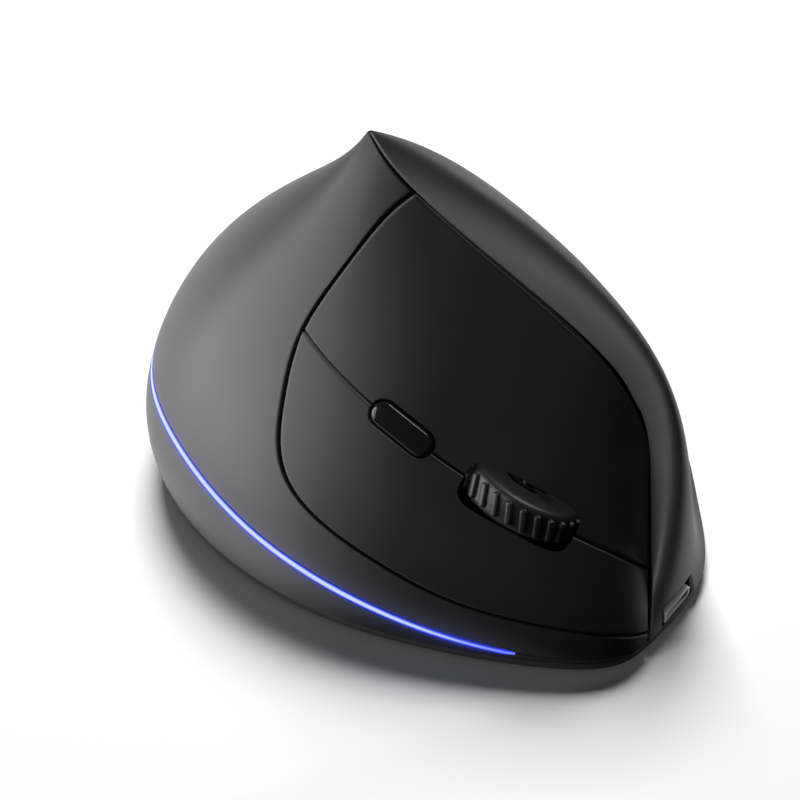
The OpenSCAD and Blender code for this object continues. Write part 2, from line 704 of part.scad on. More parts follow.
module switch_board() {
    prong_edge = 0.6;
    left_lo = left_switch_at - [switch_l, switch_w] / 2 - [prong_edge, prong_edge];
    left_hi = left_switch_at + [switch_l, switch_w] / 2 + [prong_edge, prong_edge];
    right_lo = right_switch_at - [switch_l, switch_w] / 2 - [prong_edge, prong_edge];
    right_hi = right_switch_at + [switch_l, switch_w] / 2 + [prong_edge, prong_edge];
    back = rod_at[0] - 4;
    neck = -9.5;
    color("#1f5a34") on_face() translate([0, 0, board_low]) {
        translate([back, ear_w[0] - 1.6, 0])
            cube([neck - back, left_hi.y - ear_w[0], board_t]);
        translate([back, ear_w[0] - 1.6, 0])
            cube([8.5, ear_w[1] + ear_t + 2.6 - ear_w[0], board_t]);
        translate([neck - 1, left_lo.y, 0])
            cube([left_hi.x - neck + 1, left_hi.y - left_lo.y, board_t]);
        translate([right_lo.x, right_lo.y, 0])
            cube([right_hi.x - right_lo.x, right_hi.y - right_lo.y, board_t]);
        translate([right_lo.x, right_hi.y - 1, 0])
            cube([neck - right_lo.x, ear_w[0] - right_hi.y + 1, board_t]);
    }
}
module main_switch(at) {
    on_face() difference() {
        box_on(at, [switch_l, switch_w, switch_h], board_top);
        translate([at.x + plunger_ahead, at.y, switch_top - plunger_in - press - rest_gap])
            cylinder(h = switch_h, d = plunger_d + 2 * run);
    }
}
module main_plunger(at) {
    on_face() translate([at.x + plunger_ahead, at.y, switch_top - plunger_in])
        cylinder(h = plunger_in + plunger_h, d = plunger_d);
}
module left_switch() color("#2a2a2a") main_switch(left_switch_at);
module right_switch() color("#2a2a2a") main_switch(right_switch_at);
module left_plunger() color("white") main_plunger(left_switch_at);
module right_plunger() color("white") main_plunger(right_switch_at);

// Thumb switches behind the thumb buttons, each on a pad of one bracket
thumb_places = [-thumb_pair_l / 4, thumb_pair_l / 4];
pad = [8, 8, 1.6];
tact_low = -wall - rest_gap - press - tact.z - tact_plunger_h;
function thumb_o(s) = skin(left, thumb_v(s), thumb_down);
function thumb_n(s) = normal(left, thumb_v(s), thumb_down);
module at_thumb(s) {
    run_ahead = skin(left, thumb_v(s - 3), thumb_down) - skin(left, thumb_v(s + 3), thumb_down);
    framed(thumb_o(s), square_to(run_ahead, thumb_n(s)), thumb_n(s)) children();
}
module side_switches() {
    color("#222") for (s = thumb_places) at_thumb(s) translate([0, 0, tact_low]) tact_body();
}
post_w = 5;
thumb_post_w = 4;
thumb_post_back = 1.2;
function thumb_fall(s) = unit([0, 0, -1] + thumb_n(s).z * thumb_n(s));
function thumb_post(s) =
    thumb_o(s) + (tact_low - pad.z / 2) * thumb_n(s) + (pad.y / 2 - 1) * thumb_fall(s)
        - [0, thumb_post_back, 0];
module thumb_posts(grow) {
    for (s = thumb_places)
        let (p = thumb_post(s))
            translate([p.x - thumb_post_w / 2 - grow, p.y - thumb_post_w / 2 - grow, floor_top])
                cube([thumb_post_w + 2 * grow, thumb_post_w + 2 * grow, p.z - floor_top]);
}
module side_bracket() {
    color("#3a3a3d") {
        thumb_posts(0);
        for (s = thumb_places) at_thumb(s) box_on([0, 0], pad, tact_low - pad.z);
    }
}

module leds() {
    led = [3.2, 1.4, 1.2];
    color("white") for (v = steps(light_front + 0.08, light_rear - 0.08, 6))
        let (
            q = light_mid(v),
            n = level(normal(right, v, q[1]), q[1]),
            run_ahead = skin(right, v - 0.01, q[1]) - skin(right, v + 0.01, q[1])
        )
        framed(right_inner(q), square_to(run_ahead, n), n) box_on([0, 0], led, -led.z - rest_gap);
}

// Chassis columns: each carries the switch board or the click switch
board_posts = [[-29, 1.5], [-29, 17], [-4, -8.8]];
module below_board() {
    on_face() translate([-100, -100, board_low - 200]) cube([200, 200, 200]);
}
module columns(grow) {
    for (at = board_posts)
        let (p = from_face([at.x, at.y, board_low]))
            intersection() {
                translate([p.x - post_w / 2 - grow, p.y - post_w / 2 - grow, floor_top - eps])
                    cube([post_w + 2 * grow, post_w + 2 * grow, p.z - floor_top + post_w]);
                below_board();
            }
    click_post(grow);
}
lean_up = cos(wheel_lean) * face_n - sin(wheel_lean) * face_w;
click_p = face_o + wheel_aside * face_w + (wheel_out - wheel_d / 2 + click_low) * lean_up;
click_post_w = 6.4;
module click_post(grow) {
    intersection() {
        translate([click_p.x - click_post_w / 2 - grow, click_p.y - click_post_w / 2 - grow,
            floor_top - eps])
            cube([click_post_w + 2 * grow, click_post_w + 2 * grow,
                click_p.z - floor_top + click_post_w]);
        on_wheel() translate([-50, -50, click_low - 100]) cube([100, 100, 100]);
    }
}

// Inside of the shells at a height, for the outlines of the cover and the floor
function inside_at(side, v, z) =
    let (
        ps = [for (u = steps(1, 0.6, 14)) side[3] > 0 ? right_inner([v, u]) : left_inner([v, u])]
    )
    [lookup(z, [for (p = ps) [p.z, p.x]]), lookup(z, [for (p = ps) [p.z, p.y]])];
outline_n = 36;
function floor_outline(gap) = [
    for (k = [0:2 * outline_n - 1])
        let (
            side = k < outline_n ? right : left,
            v = k < outline_n ? k / outline_n : 2 - k / outline_n,
            n = k < outline_n ? level(normal(right, v, 1), 1) : left_inward(v, 1),
            p = inside_at(side, v, floor_top)
        )
        p - gap * [n.x, n.y]
];
function rim_outline(gap) = [
    for (k = [0:2 * outline_n - 1])
        let (
            side = k < outline_n ? right : left,
            v = k < outline_n ? k / outline_n : 2 - k / outline_n,
            n = k < outline_n ? level(normal(right, v, 1), 1) : left_inward(v, 1),
            p = spline(side[0], v)
        )
        p - gap * [n.x, n.y]
];

// Places on the floor: screws, main board, sensor, battery, power switch
function on_floor(p) = [p.x * stretch.x, p.y * stretch.y];
screw_at = [for (p = [[22, -27], [-22, -28], [27, 10], [-13.5, 31]]) on_floor(p)];
boss_h = 6;
screw_l = 7;
head_h = 1.1;
main_at = on_floor([-12.5, 1]);
main_size = [19, 46 * stretch.y];
main_z = floor_top + board_lift;
standoff_at = [for (x = [-1, 1]) for (y = [-1, 1])
    main_at + [x * (main_size.x / 2 - 2.4), y * (main_size.y / 2 - 2.4)]];
sensor_at = on_floor([-12.5, -9.5]);
window = [9, 11];
lens_gap = 0.2;
battery_at = on_floor([-2, -32.4]);
power_at = on_floor([-13, 19.6]);
slider = [2, 2.6];
slider_travel = 2.4;
slider_gap = 0.3;
power_body = [4, 9, 2.2];

module at_port() {
    multmatrix([
        [port_side.x, port_out.x, 0, port_face.x], [port_side.y, port_out.y, 0, port_face.y],
        [0, 0, 1, port_z], [0, 0, 0, 1]
    ]) children();
}
port_l = 5.6;
port_t = 0.4;
charge_size = [9.2, 13];
charge_back = 3.2;
floor_gap = 0.6;

module chassis() {
    color("#454548") difference() {
        union() {
            translate([0, 0, base_top]) linear_extrude(floor_t) polygon(floor_outline(floor_gap));
            for (p = screw_at) translate([p.x, p.y, floor_top - eps])
                cylinder(h = boss_h + eps, d = boss_d);
            for (p = standoff_at) translate([p.x, p.y, floor_top - eps])
                cylinder(h = board_lift + eps, d = 4);
            at_port() for (x = [-1, 1])
                translate([x * (charge_size.x / 2 - 1.6), -charge_back - charge_size.y + 1.8,
                    base_top - port_z])
                    cylinder(h = port_z + port_h - base_top, d = 3);
            columns(0);
        }
        for (p = screw_at) translate([p.x, p.y, base_top - 1])
            cylinder(h = screw_l, d = screw_d);
        box_on(sensor_at, [window.x + 2 * lens_gap, window.y + 2 * lens_gap, 9], base_top - 1);
        box_on(power_at, [slider.x + 2 * slider_gap, slider.y + slider_travel + 2 * slider_gap, 9],
            base_top - 1);
        at_port() translate([-port_w / 2 - port_gap, -port_l - port_gap, base_top - port_z - 1])
            cube([port_w + 2 * port_gap, 3 * port_l, floor_t + 2]);
    }
}
module main_board() {
    color("#1f5a34") difference() {
        box_on(main_at, [main_size.x, main_size.y, board_t], main_z);
        thumb_posts(0.5);
        columns(0.5);
        box_on(sensor_at, [5, 6, 9], main_z - 1);
    }
}
module sensor_chip() {
    color("#18181a") box_on(sensor_at, [10, 12, 2], main_z + board_t);
}
module sensor_lens() {
    color("#dfe8ee") difference() {
        union() {
            box_on(sensor_at, [window.x, window.y, base_t + floor_t], skate_t + 0.4);
            box_on(sensor_at, [window.x + 4, window.y + 4, 1.4], floor_top);
        }
        translate([sensor_at.x, sensor_at.y, -1]) cylinder(h = floor_top + 1.6, d = 5);
    }
}
module battery_cell() {
    color("#8f98a3") box_on(battery_at, battery, floor_top);
}
module charge_board() {
    color("#1f5a34") at_port()
        translate([-charge_size.x / 2, -charge_back - charge_size.y, port_h])
            cube([charge_size.x, charge_size.y, board_t]);
}
module port_shell() {
    color("silver") at_port() difference() {
        translate([-port_w / 2, -port_l, 0]) cube([port_w, port_l, port_h]);
        translate([-port_w / 2 + port_t, -port_l + port_t, port_t])
            cube([port_w - 2 * port_t, port_l, port_h - 2 * port_t]);
    }
}
module port_tongue() {
    color("#111") at_port() translate([-port_w / 2 + 1.2, -port_l + port_t, port_h / 2 - 0.1])
        cube([port_w - 2.4, 3.8, 0.7]);
}
module power_switch() {
    color("#2a2a2a") box_on(power_at, power_body, main_z - power_body.z);
}
module power_slider() {
    low = skate_t + 0.3;
    color("white") translate([0, -slider_travel / 2, 0])
        box_on(power_at, [slider.x, slider.y, main_z - power_body.z - rest_gap - low], low);
}
module base_plate() {
    color("#1b1b1d") difference() {
        translate([0, 0, skate_t]) linear_extrude(base_t) polygon(rim_outline(0.4));
        for (p = screw_at) translate([p.x, p.y, skate_t - 1]) {
            cylinder(h = base_t + 2, d = screw_d + 2 * run);
            cylinder(h = 1 + head_h + rest_gap, d = screw_head_d + 2 * rest_gap);
        }
        box_on(sensor_at, [window.x + 2 * lens_gap, window.y + 2 * lens_gap, 9], skate_t - 1);
        box_on(power_at, [slider.x + 2 * slider_gap, slider.y + slider_travel + 2 * slider_gap, 9],
            skate_t - 1);
    }
}
module screws() {
    color("silver") for (p = screw_at) translate([p.x, p.y, skate_t + rest_gap]) difference() {
        union() {
            cylinder(h = head_h, d = screw_head_d);
            cylinder(h = screw_l, d = screw_d - 2 * run);
        }
        for (a = [0, 90]) rotate(a) box_on([0, 0], [screw_head_d * 0.6, 0.6, 1], -0.4);
    }
}
skate_w = 4;
skate_at = [[4, 42, -6, 15], [-5, -43, 6, 17], [28, -6, 95, 14], [-28, -2, 92, 14]];
module skates() {
    color("#e9e9e6") for (s = skate_at) translate(on_floor(s)) rotate(s[2])
        linear_extrude(skate_t) {
            square([s[3] - skate_w, skate_w], center = true);
            for (x = [-1, 1]) translate([x * (s[3] - skate_w) / 2, 0]) circle(d = skate_w);
        }
}

palm_shell();
thumb_shell();
skirt();
light_strip();
left_button();
right_button();
dpi_button();
forward_button();
back_button();
wheel_tyre();
wheel_hub();
wheel_axle();
wheel_fork();
encoder();
click_switch();
left_lever();
right_lever();
pivot_rod();
pivot_bracket();
switch_board();
left_switch();
right_switch();
left_plunger();
right_plunger();
dpi_switch();
side_bracket();
side_switches();
leds();
chassis();
main_board();
sensor_chip();
sensor_lens();
battery_cell();
charge_board();
port_shell();
port_tongue();
power_switch();
power_slider();
base_plate();
screws();
skates();
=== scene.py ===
"""Looks of a right-handed vertical mouse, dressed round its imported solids."""

import logging
import math
from collections.abc import Iterator
from contextlib import contextmanager
from dataclasses import dataclass, field
from enum import Enum

import bpy
import numpy as np
from mathutils import Matrix, Vector


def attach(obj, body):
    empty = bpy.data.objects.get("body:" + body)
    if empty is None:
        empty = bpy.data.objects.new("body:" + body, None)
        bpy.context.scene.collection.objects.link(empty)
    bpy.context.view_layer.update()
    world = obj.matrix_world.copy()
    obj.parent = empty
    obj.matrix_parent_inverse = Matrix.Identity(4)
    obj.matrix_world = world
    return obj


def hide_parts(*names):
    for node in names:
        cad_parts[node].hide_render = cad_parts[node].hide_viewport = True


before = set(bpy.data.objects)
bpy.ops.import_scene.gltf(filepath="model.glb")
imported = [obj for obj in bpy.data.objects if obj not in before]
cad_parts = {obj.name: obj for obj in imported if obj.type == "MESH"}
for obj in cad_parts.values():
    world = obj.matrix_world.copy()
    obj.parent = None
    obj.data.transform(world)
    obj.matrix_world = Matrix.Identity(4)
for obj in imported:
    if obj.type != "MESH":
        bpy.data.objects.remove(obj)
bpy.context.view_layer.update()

log = logging.getLogger("mouse")
MM = 0.001

Array = np.ndarray
Colour = tuple[float, float, float]
Block = tuple[int, int, int, int]


def spline(cage: Array, share: Array) -> Array:
    """Point on a smooth curve that starts and ends on its end points.

    Args:
        cage: Control points, one row each.
        share: Places along the curve, 0 to 1.

    Returns:
        One point for each share.
    """
    last = len(cage) - 1
    s = np.clip(share, 0, 1) * last
    i = np.minimum(np.floor(s).astype(int), last - 1)
    f = (s - i)[..., None]
    ends = np.vstack([2 * cage[0] - cage[1], cage, 2 * cage[-1] - cage[-2]])
    return (
        ends[i] * (1 - f) ** 3
        + ends[i + 1] * (3 * f**3 - 6 * f**2 + 4)
        + ends[i + 2] * (3 * f + 3 * f**2 - 3 * f**3 + 1)
        + ends[i + 3] * f**3
    ) / 6


def ease(start: float, end: float, x: Array) -> Array:
    """Smooth step from 0 at start to 1 at end."""
    f = np.clip((x - start) / (end - start), 0, 1)
    return f * f * (3 - 2 * f)


def unit(p: Array) -> Array:
    """Vectors of length one."""
    return p / np.linalg.norm(p, axis=-1, keepdims=True)


def mix(a: Array, b: Array, f: Array) -> Array:
    """Point between a and b."""
    return a + (b - a) * f


@dataclass(frozen=True)
class BodySizes:
    """Sizes of the body in millimetres, and shares on its skins."""

    middle: tuple[float, float] = (3.5, -4.2)
    wall: float = 2.0
    seam: float = 0.5
    groove: float = 1.0
    skate: float = 0.6
    base: float = 1.8
    base_gap: float = 0.2
    palm_corner: float = 0.73
    light_front: float = 0.243
    light_rear: float = 0.9
    light_taper: tuple[float, float] = (0.012, 0.04)
    light_w: float = 1.5
    light_gap: float = 0.1
    thumb_down: float = 0.45
    thumb_round: float = 0.56
    port_round: float = 0.064

    @property
    def rim_z(self) -> float:
        """Height of the shells' lower rim above the desk."""
        return self.skate + self.base + self.base_gap


BODY = BodySizes()


@dataclass(frozen=True)
class Blends:
    """Shares between which the wall's direction and thickness change."""

    step: float = 0.004
    first_down: float = 0.02
    under_ridge: tuple[float, float] = (0.0, 0.12)
    nose: tuple[float, float] = (0.03, 0.1)
    end: tuple[float, float] = (0.0, 0.06)
    low: tuple[float, float] = (0.45, 0.85)
    rim: tuple[float, float] = (0.8, 1.0)
    peak: tuple[float, float] = (0.35, 0.6)
    peak_drop: float = 0.15
    peak_reach: float = 0.4
    thin_nose: tuple[float, float] = (0.05, 0.3)
    thin_share: float = 0.3


BLEND = Blends()


def centred(points: list[tuple[float, ...]]) -> Array:
    """Cage points moved so that the body's middle is over the origin."""
    p = np.array(points, float)
    p[:, :2] -= BODY.middle
    return p


PEAK = (1.0, -16.0, 69.5)
RIDGE = centred(
    [(5, 34.5, 26.5), (5, 30, 40.5), (4, 4, 55), (4, -11, 65), PEAK, PEAK, PEAK, PEAK]
)
PALM_SEAM = np.array(
    [
        (0, 0.865), (0.095, 0.8), (0.28, 0.815), (0.355, 0.745), (0.48, 0.675), (0.505, 0.5),
        (0.54, 0.36), (0.485, 0.145), (0.4, 0),
    ]
)
SPLIT = np.vstack(
    [
        [(0, 0.495), (0.235, 0.505), (0.375, 0.425)],
        spline(PALM_SEAM, np.array([BODY.palm_corner])),
    ]
)
LIGHT_DOWN = np.array([[0.94, 0.96, 0.965, 0.88, 0.815, 0.745, 0.775, 0.8, 0.82]]).T


@dataclass(frozen=True)
class Skin:
    """One side of the body's outer skin, from the ridge down to the rim.

    Shares on it are v, round from the front to the rear, and u, down from the ridge.
    """

    rim: Array
    top: Array
    foot: Array
    sign: float

    def point(self, v: Array, u: Array) -> Array:
        """Points of the skin, in millimetres."""
        v, u = np.broadcast_arrays(np.asarray(v, float), np.asarray(u, float))
        r = spline(RIDGE, v)
        b = np.concatenate([spline(self.rim, v), np.full((*v.shape, 1), BODY.rim_z)], -1)
        e = unit((b - r) * (1, 1, 0))
        top, foot = spline(self.top, v), spline(self.foot, v)
        p1 = r + top[..., :1] * e
        p1[..., 1] += top[..., 2]
        p1[..., 2] -= top[..., 1]
        p2 = b + foot[..., :1] * e
        p2[..., 2] += foot[..., 1]
        w = u[..., None]
        return (1 - w) ** 3 * r + 3 * (1 - w) ** 2 * w * p1 + 3 * (1 - w) * w**2 * p2 + w**3 * b

    def normal(self, v: Array, u: Array) -> Array:
        """Outward directions of the skin."""
        h = BLEND.step
        v, u = np.broadcast_arrays(np.asarray(v, float), np.asarray(u, float))
        w = np.maximum(u, BLEND.first_down)
        along = self.point(np.minimum(v + h, 1), w) - self.point(np.maximum(v - h, 0), w)
        down = self.point(v, np.minimum(w + h, 1)) - self.point(v, w - h)
        return self.sign * unit(np.cross(along, down))

    def inward(self, v: Array, u: Array) -> Array:
        """Outward directions that the wall's thickness follows, level at the rim."""
        n = self.normal(v, u)
        if self.sign < 0:
            own = np.maximum(ease(*BLEND.under_ridge, u), 1 - ease(*BLEND.nose, v))
            n = mix(RIGHT.normal(v, 0 * u), n, own[..., None])
            own = np.maximum(ease(*BLEND.end, v), 1 - ease(*BLEND.low, u))
            n = mix(RIGHT.normal(0 * v, u), n, own[..., None])
            n = mix(RIGHT.normal(0 * v + 1, u), n, ease(*BLEND.end, 1 - v)[..., None])
        flat = np.stack([n[..., 0], n[..., 1], n[..., 2] * (1 - ease(*BLEND.rim, u))], -1)
        return unit(flat)

    def inside(self, v: Array, u: Array) -> Array:
        """Points of the wall's inner face, which starts further down towards the peak."""
        near = np.maximum(0, 1 - u / BLEND.peak_reach) ** 2
        w = u + BLEND.peak_drop * ease(*BLEND.peak, v) * near
        thick = np.full(w.shape, BODY.wall)
        if self.sign < 0:
            full = np.maximum(ease(*BLEND.thin_nose, v), ease(*BLEND.low, w))
            thick *= mix(BLEND.thin_share, 1, full)
        return self.point(v, w) - thick[..., None] * self.inward(v, w)

    def down_share(self, v: Array, u: Array, mm: Array) -> Array:
        """Share of u that a distance down the skin takes."""
        run = self.point(v, u + 0.01) - self.point(v, u - 0.01)
        return mm * 0.02 / np.linalg.norm(run, axis=-1)


RIGHT = Skin(
    centred(
        [
            (23, 43), (31, 40), (38, 16), (41, -9), (35, -32.5), (21.5, -50.5), (-7, -55.5),
            (-24, -47),
        ]
    ),
    np.array(
        [
            (6, 13, 0), (8, 18, 0), (8.5, 23, 0), (8, 26, 0), (8, 26.5, 0), (8.5, 24, 0),
            (10.5, 20, 0), (11.5, 19.5, 0),
        ]
    ),
    np.array(
        [
            (0, 4), (2.5, 11.5), (5, 18), (7, 23.5), (9.5, 27), (9.5, 29.5), (8.5, 32.5),
            (6, 31.5),
        ]
    ),
    1.0,
)
LEFT = Skin(
    centred(
        [
            (23, 43), (6, 48.5), (-8, 40.5), (-24, 33), (-33, 19), (-34, -6), (-31, -30),
            (-24, -47),
        ]
    ),
    np.array(
        [
            (6, 13, 0), (16, -12, 0), (25, -13.5, 4.5), (24, -5, 5.5), (20.5, 4.5, 6.5),
            (13.5, 11.5, 4), (11.5, 15.5, 2), (11.5, 19.5, 0),
        ]
    ),
    np.array(
        [
            (0, 4), (-4.5, 8.5), (-11, 8), (-14, 10.5), (-15, 12.5), (-13, 14.5), (-6, 20.5),
            (6, 31.5),
        ]
    ),
    -1.0,
)


class RunTable:
    """Shares along a curve on a skin, by the distance run in millimetres."""

    def __init__(self, points: Array, shares: Array) -> None:
        """Measures the curve.

        Args:
            points: Points along the curve.
            shares: The share of each point.
        """
        steps = np.linalg.norm(np.diff(points, axis=0), axis=1)
        self.run = np.concatenate([[0], np.cumsum(steps)])
        self.shares = shares

    def share(self, mm: Array) -> Array:
        """Share at a distance."""
        return np.interp(mm, self.run, self.shares)

    def distance(self, share: float) -> float:
        """Distance at a share."""
        return float(np.interp(share, self.shares, self.run))


def slot_stops(at: float, length: float, n: int) -> Array:
    """Distances along a slot, closer together at its ends."""
    return at - length / 2 * np.cos(np.pi * np.arange(n + 1) / n)


class Grade(Enum):
    """How a cell of a panel's net is divided."""

    PLAIN = "plain"
    START = "close together at the start"
    END = "close together at the end"


NEAR_EDGE = (0.0, 0.015, 0.04, 0.08, 0.14, 0.22, 0.34, 0.5, 0.74)
PLAIN_PARTS = 3


def net_stops(grades: list[Grade]) -> Array:
    """Places along one direction of a net, counted in its cells."""
    near = np.array(NEAR_EDGE)
    shares = {
        Grade.PLAIN: np.arange(PLAIN_PARTS) / PLAIN_PARTS,
        Grade.START: near,
        Grade.END: np.concatenate([[0], 1 - near[:0:-1]]),
    }
    stops = [i + shares[g] for i, g in enumerate(grades)]
    return np.concatenate([*stops, [len(grades)]])


def along_net(net: Array, stops: Array) -> Array:
    """Net values at places along its first direction."""
    i = np.minimum(stops.astype(int), len(net) - 2)
    f = (stops - i).reshape(-1, *[1] * (net.ndim - 1))
    return mix(net[i], net[i + 1], f)


def runs(points: Array, axis: int) -> Array:
    """Distance run from the first point along one direction of a net."""
    steps = np.linalg.norm(np.diff(points, axis=axis), axis=-1)
    pad = [(0, 0), (0, 0)]
    pad[axis] = (1, 0)
    return np.cumsum(np.pad(steps, pad), axis=axis)


def net_of(v: Array, u: Array) -> Array:
    """Net of shares from the v of each column and the u of each point."""
    return np.stack(np.broadcast_arrays(v[:, None], u), -1)


def coons(top: Array, bottom: Array, front: Array, rear: Array) -> Array:
    """Net of shares between four edges, each a list of shares."""
    a = np.linspace(0, 1, len(top))[:, None, None]
    b = np.linspace(0, 1, len(front))[None, :, None]
    corners = mix(mix(top[0], top[-1], a), mix(bottom[0], bottom[-1], a), b)
    return mix(top[:, None], bottom[:, None], b) + mix(front[None], rear[None], a) - corners


def tighten(
    skin: Skin, net: Array, front: float, rear: float, top: float | Array, bottom: float
) -> Array:
    """Moves a net's edges in by distances in millimetres.

    Args:
        skin: The skin that the net lies on.
        net: Shares, columns from front to rear and rows from top to bottom.
        front: Distance at the first column.
        rear: Distance at the last column.
        top: Distance at the first row, or one for each of its points.
        bottom: Distance at the last row.

    Returns:
        The net with its edges moved.
    """

    def pull(edge: Array, to: Array, mm: float | Array) -> Array:
        gap = skin.point(to[:, 0], to[:, 1]) - skin.point(edge[:, 0], edge[:, 1])
        part = mm / np.maximum(np.linalg.norm(gap, axis=-1), 1e-6)
        return mix(edge, to, np.minimum(0.8, part)[:, None])

    net = net.copy()
    if np.any(top):
        net[:, 0] = pull(net[:, 0], net[:, 1], top)
    if bottom:
        net[:, -1] = pull(net[:, -1], net[:, -2], bottom)
    if front:
        net[0] = pull(net[0], net[1], front)
    if rear:
        net[-1] = pull(net[-1], net[-2], rear)
    return net


def plain_grades(n: int) -> list[Grade]:
    """Grades of n cells with rounded edges at both ends."""
    return [Grade.START, *[Grade.PLAIN] * (n - 2), Grade.END]


def deselect() -> None:
    """Leaves edit mode and selects nothing."""
    if bpy.context.object and bpy.context.object.mode != "OBJECT":
        bpy.ops.object.mode_set(mode="OBJECT")
    bpy.ops.object.select_all(action="DESELECT")


def activate(obj: bpy.types.Object) -> None:
    """Makes a piece the only selected one."""
    deselect()
    obj.select_set(True)
    bpy.context.view_layer.objects.active = obj


@contextmanager
def editing(obj: bpy.types.Object) -> Iterator[None]:
    """Edit mode, with all of a mesh selected."""
    activate(obj)
    bpy.ops.object.mode_set(mode="EDIT")
    bpy.ops.mesh.select_all(action="SELECT")
    yield
    bpy.ops.object.mode_set(mode="OBJECT")


def add_mesh(name: str, points: Array, faces: list[list[int]]) -> bpy.types.Object:
    """Adds a mesh.

    Args:
        name: Its name.
        points: Its points in millimetres, one a row.
        faces: Numbers of each face's points.

    Returns:
        Its object.
    """
    mesh = bpy.data.meshes.new(name)
    mesh.from_pydata((points * MM).tolist(), [], faces)
    obj = bpy.data.objects.new(name, mesh)
    bpy.context.collection.objects.link(obj)
    return obj


def keep_values(obj: bpy.types.Object, name: str, values: Array) -> None:
    """Keeps a value for each point of a mesh as an attribute."""
    store = obj.data.attributes.new(name, "FLOAT", "POINT")
    store.data.foreach_set("value", values.astype(np.float32))


def kept_values(obj: bpy.types.Object, name: str) -> Array:
    """Values that a mesh keeps as an attribute."""
    values = np.zeros(len(obj.data.vertices), np.float32)
    obj.data.attributes[name].data.foreach_get("value", values)
    return values


def apply_modifier(obj: bpy.types.Object, kind: str, **settings: object) -> None:
    """Adds a modifier and applies it.

    Args:
        obj: The piece.
        kind: The modifier's type.
        settings: Values of the modifier.
    """
    activate(obj)
    bpy.ops.object.modifier_add(type=kind)
    modifier = obj.modifiers[-1]
    for name, value in settings.items():
        setattr(modifier, name, value)
    bpy.ops.object.modifier_apply(modifier=modifier.name)


def smooth(obj: bpy.types.Object, degrees: float = 35.0) -> None:
    """Shades a piece smooth, apart from its sharp edges."""
    activate(obj)
    bpy.ops.object.shade_smooth_by_angle(angle=math.radians(degrees))


def join(name: str, parts: list[bpy.types.Object]) -> bpy.types.Object:
    """Joins parts into one piece.

    Args:
        name: The piece's name.
        parts: The parts, of which the first is kept.

    Returns:
        The piece.
    """
    activate(parts[0])
    for part in parts[1:]:
        part.select_set(True)
    bpy.ops.object.join()
    parts[0].name = name
    return parts[0]


def copy_of(obj: bpy.types.Object, place: Matrix) -> bpy.types.Object:
    """A copy of a part with its own mesh, moved by a matrix."""
    made = obj.copy()
    made.data = obj.data.copy()
    made.data.transform(place)
    bpy.context.collection.objects.link(made)
    return made


def seat(obj: bpy.types.Object, place: Matrix) -> bpy.types.Object:
    """Puts a part's place into its mesh, so that its object stays at the origin."""
    activate(obj)
    bpy.ops.object.transform_apply(location=True, rotation=True, scale=True)
    obj.data.transform(place)
    return obj


def frame_at(origin: Array, ahead: Array, out: Array) -> Matrix:
    """Placing matrix in metres: first axis ahead, third axis out."""
    up = np.cross(out, ahead)
    rows = np.column_stack([ahead, up, out, origin * MM])
    return Matrix([*rows.tolist(), [0, 0, 0, 1]])


def square_to(run: Array, out: Array) -> Array:
    """Direction of a run, made square to out."""
    return unit(run - (run @ out) * out)


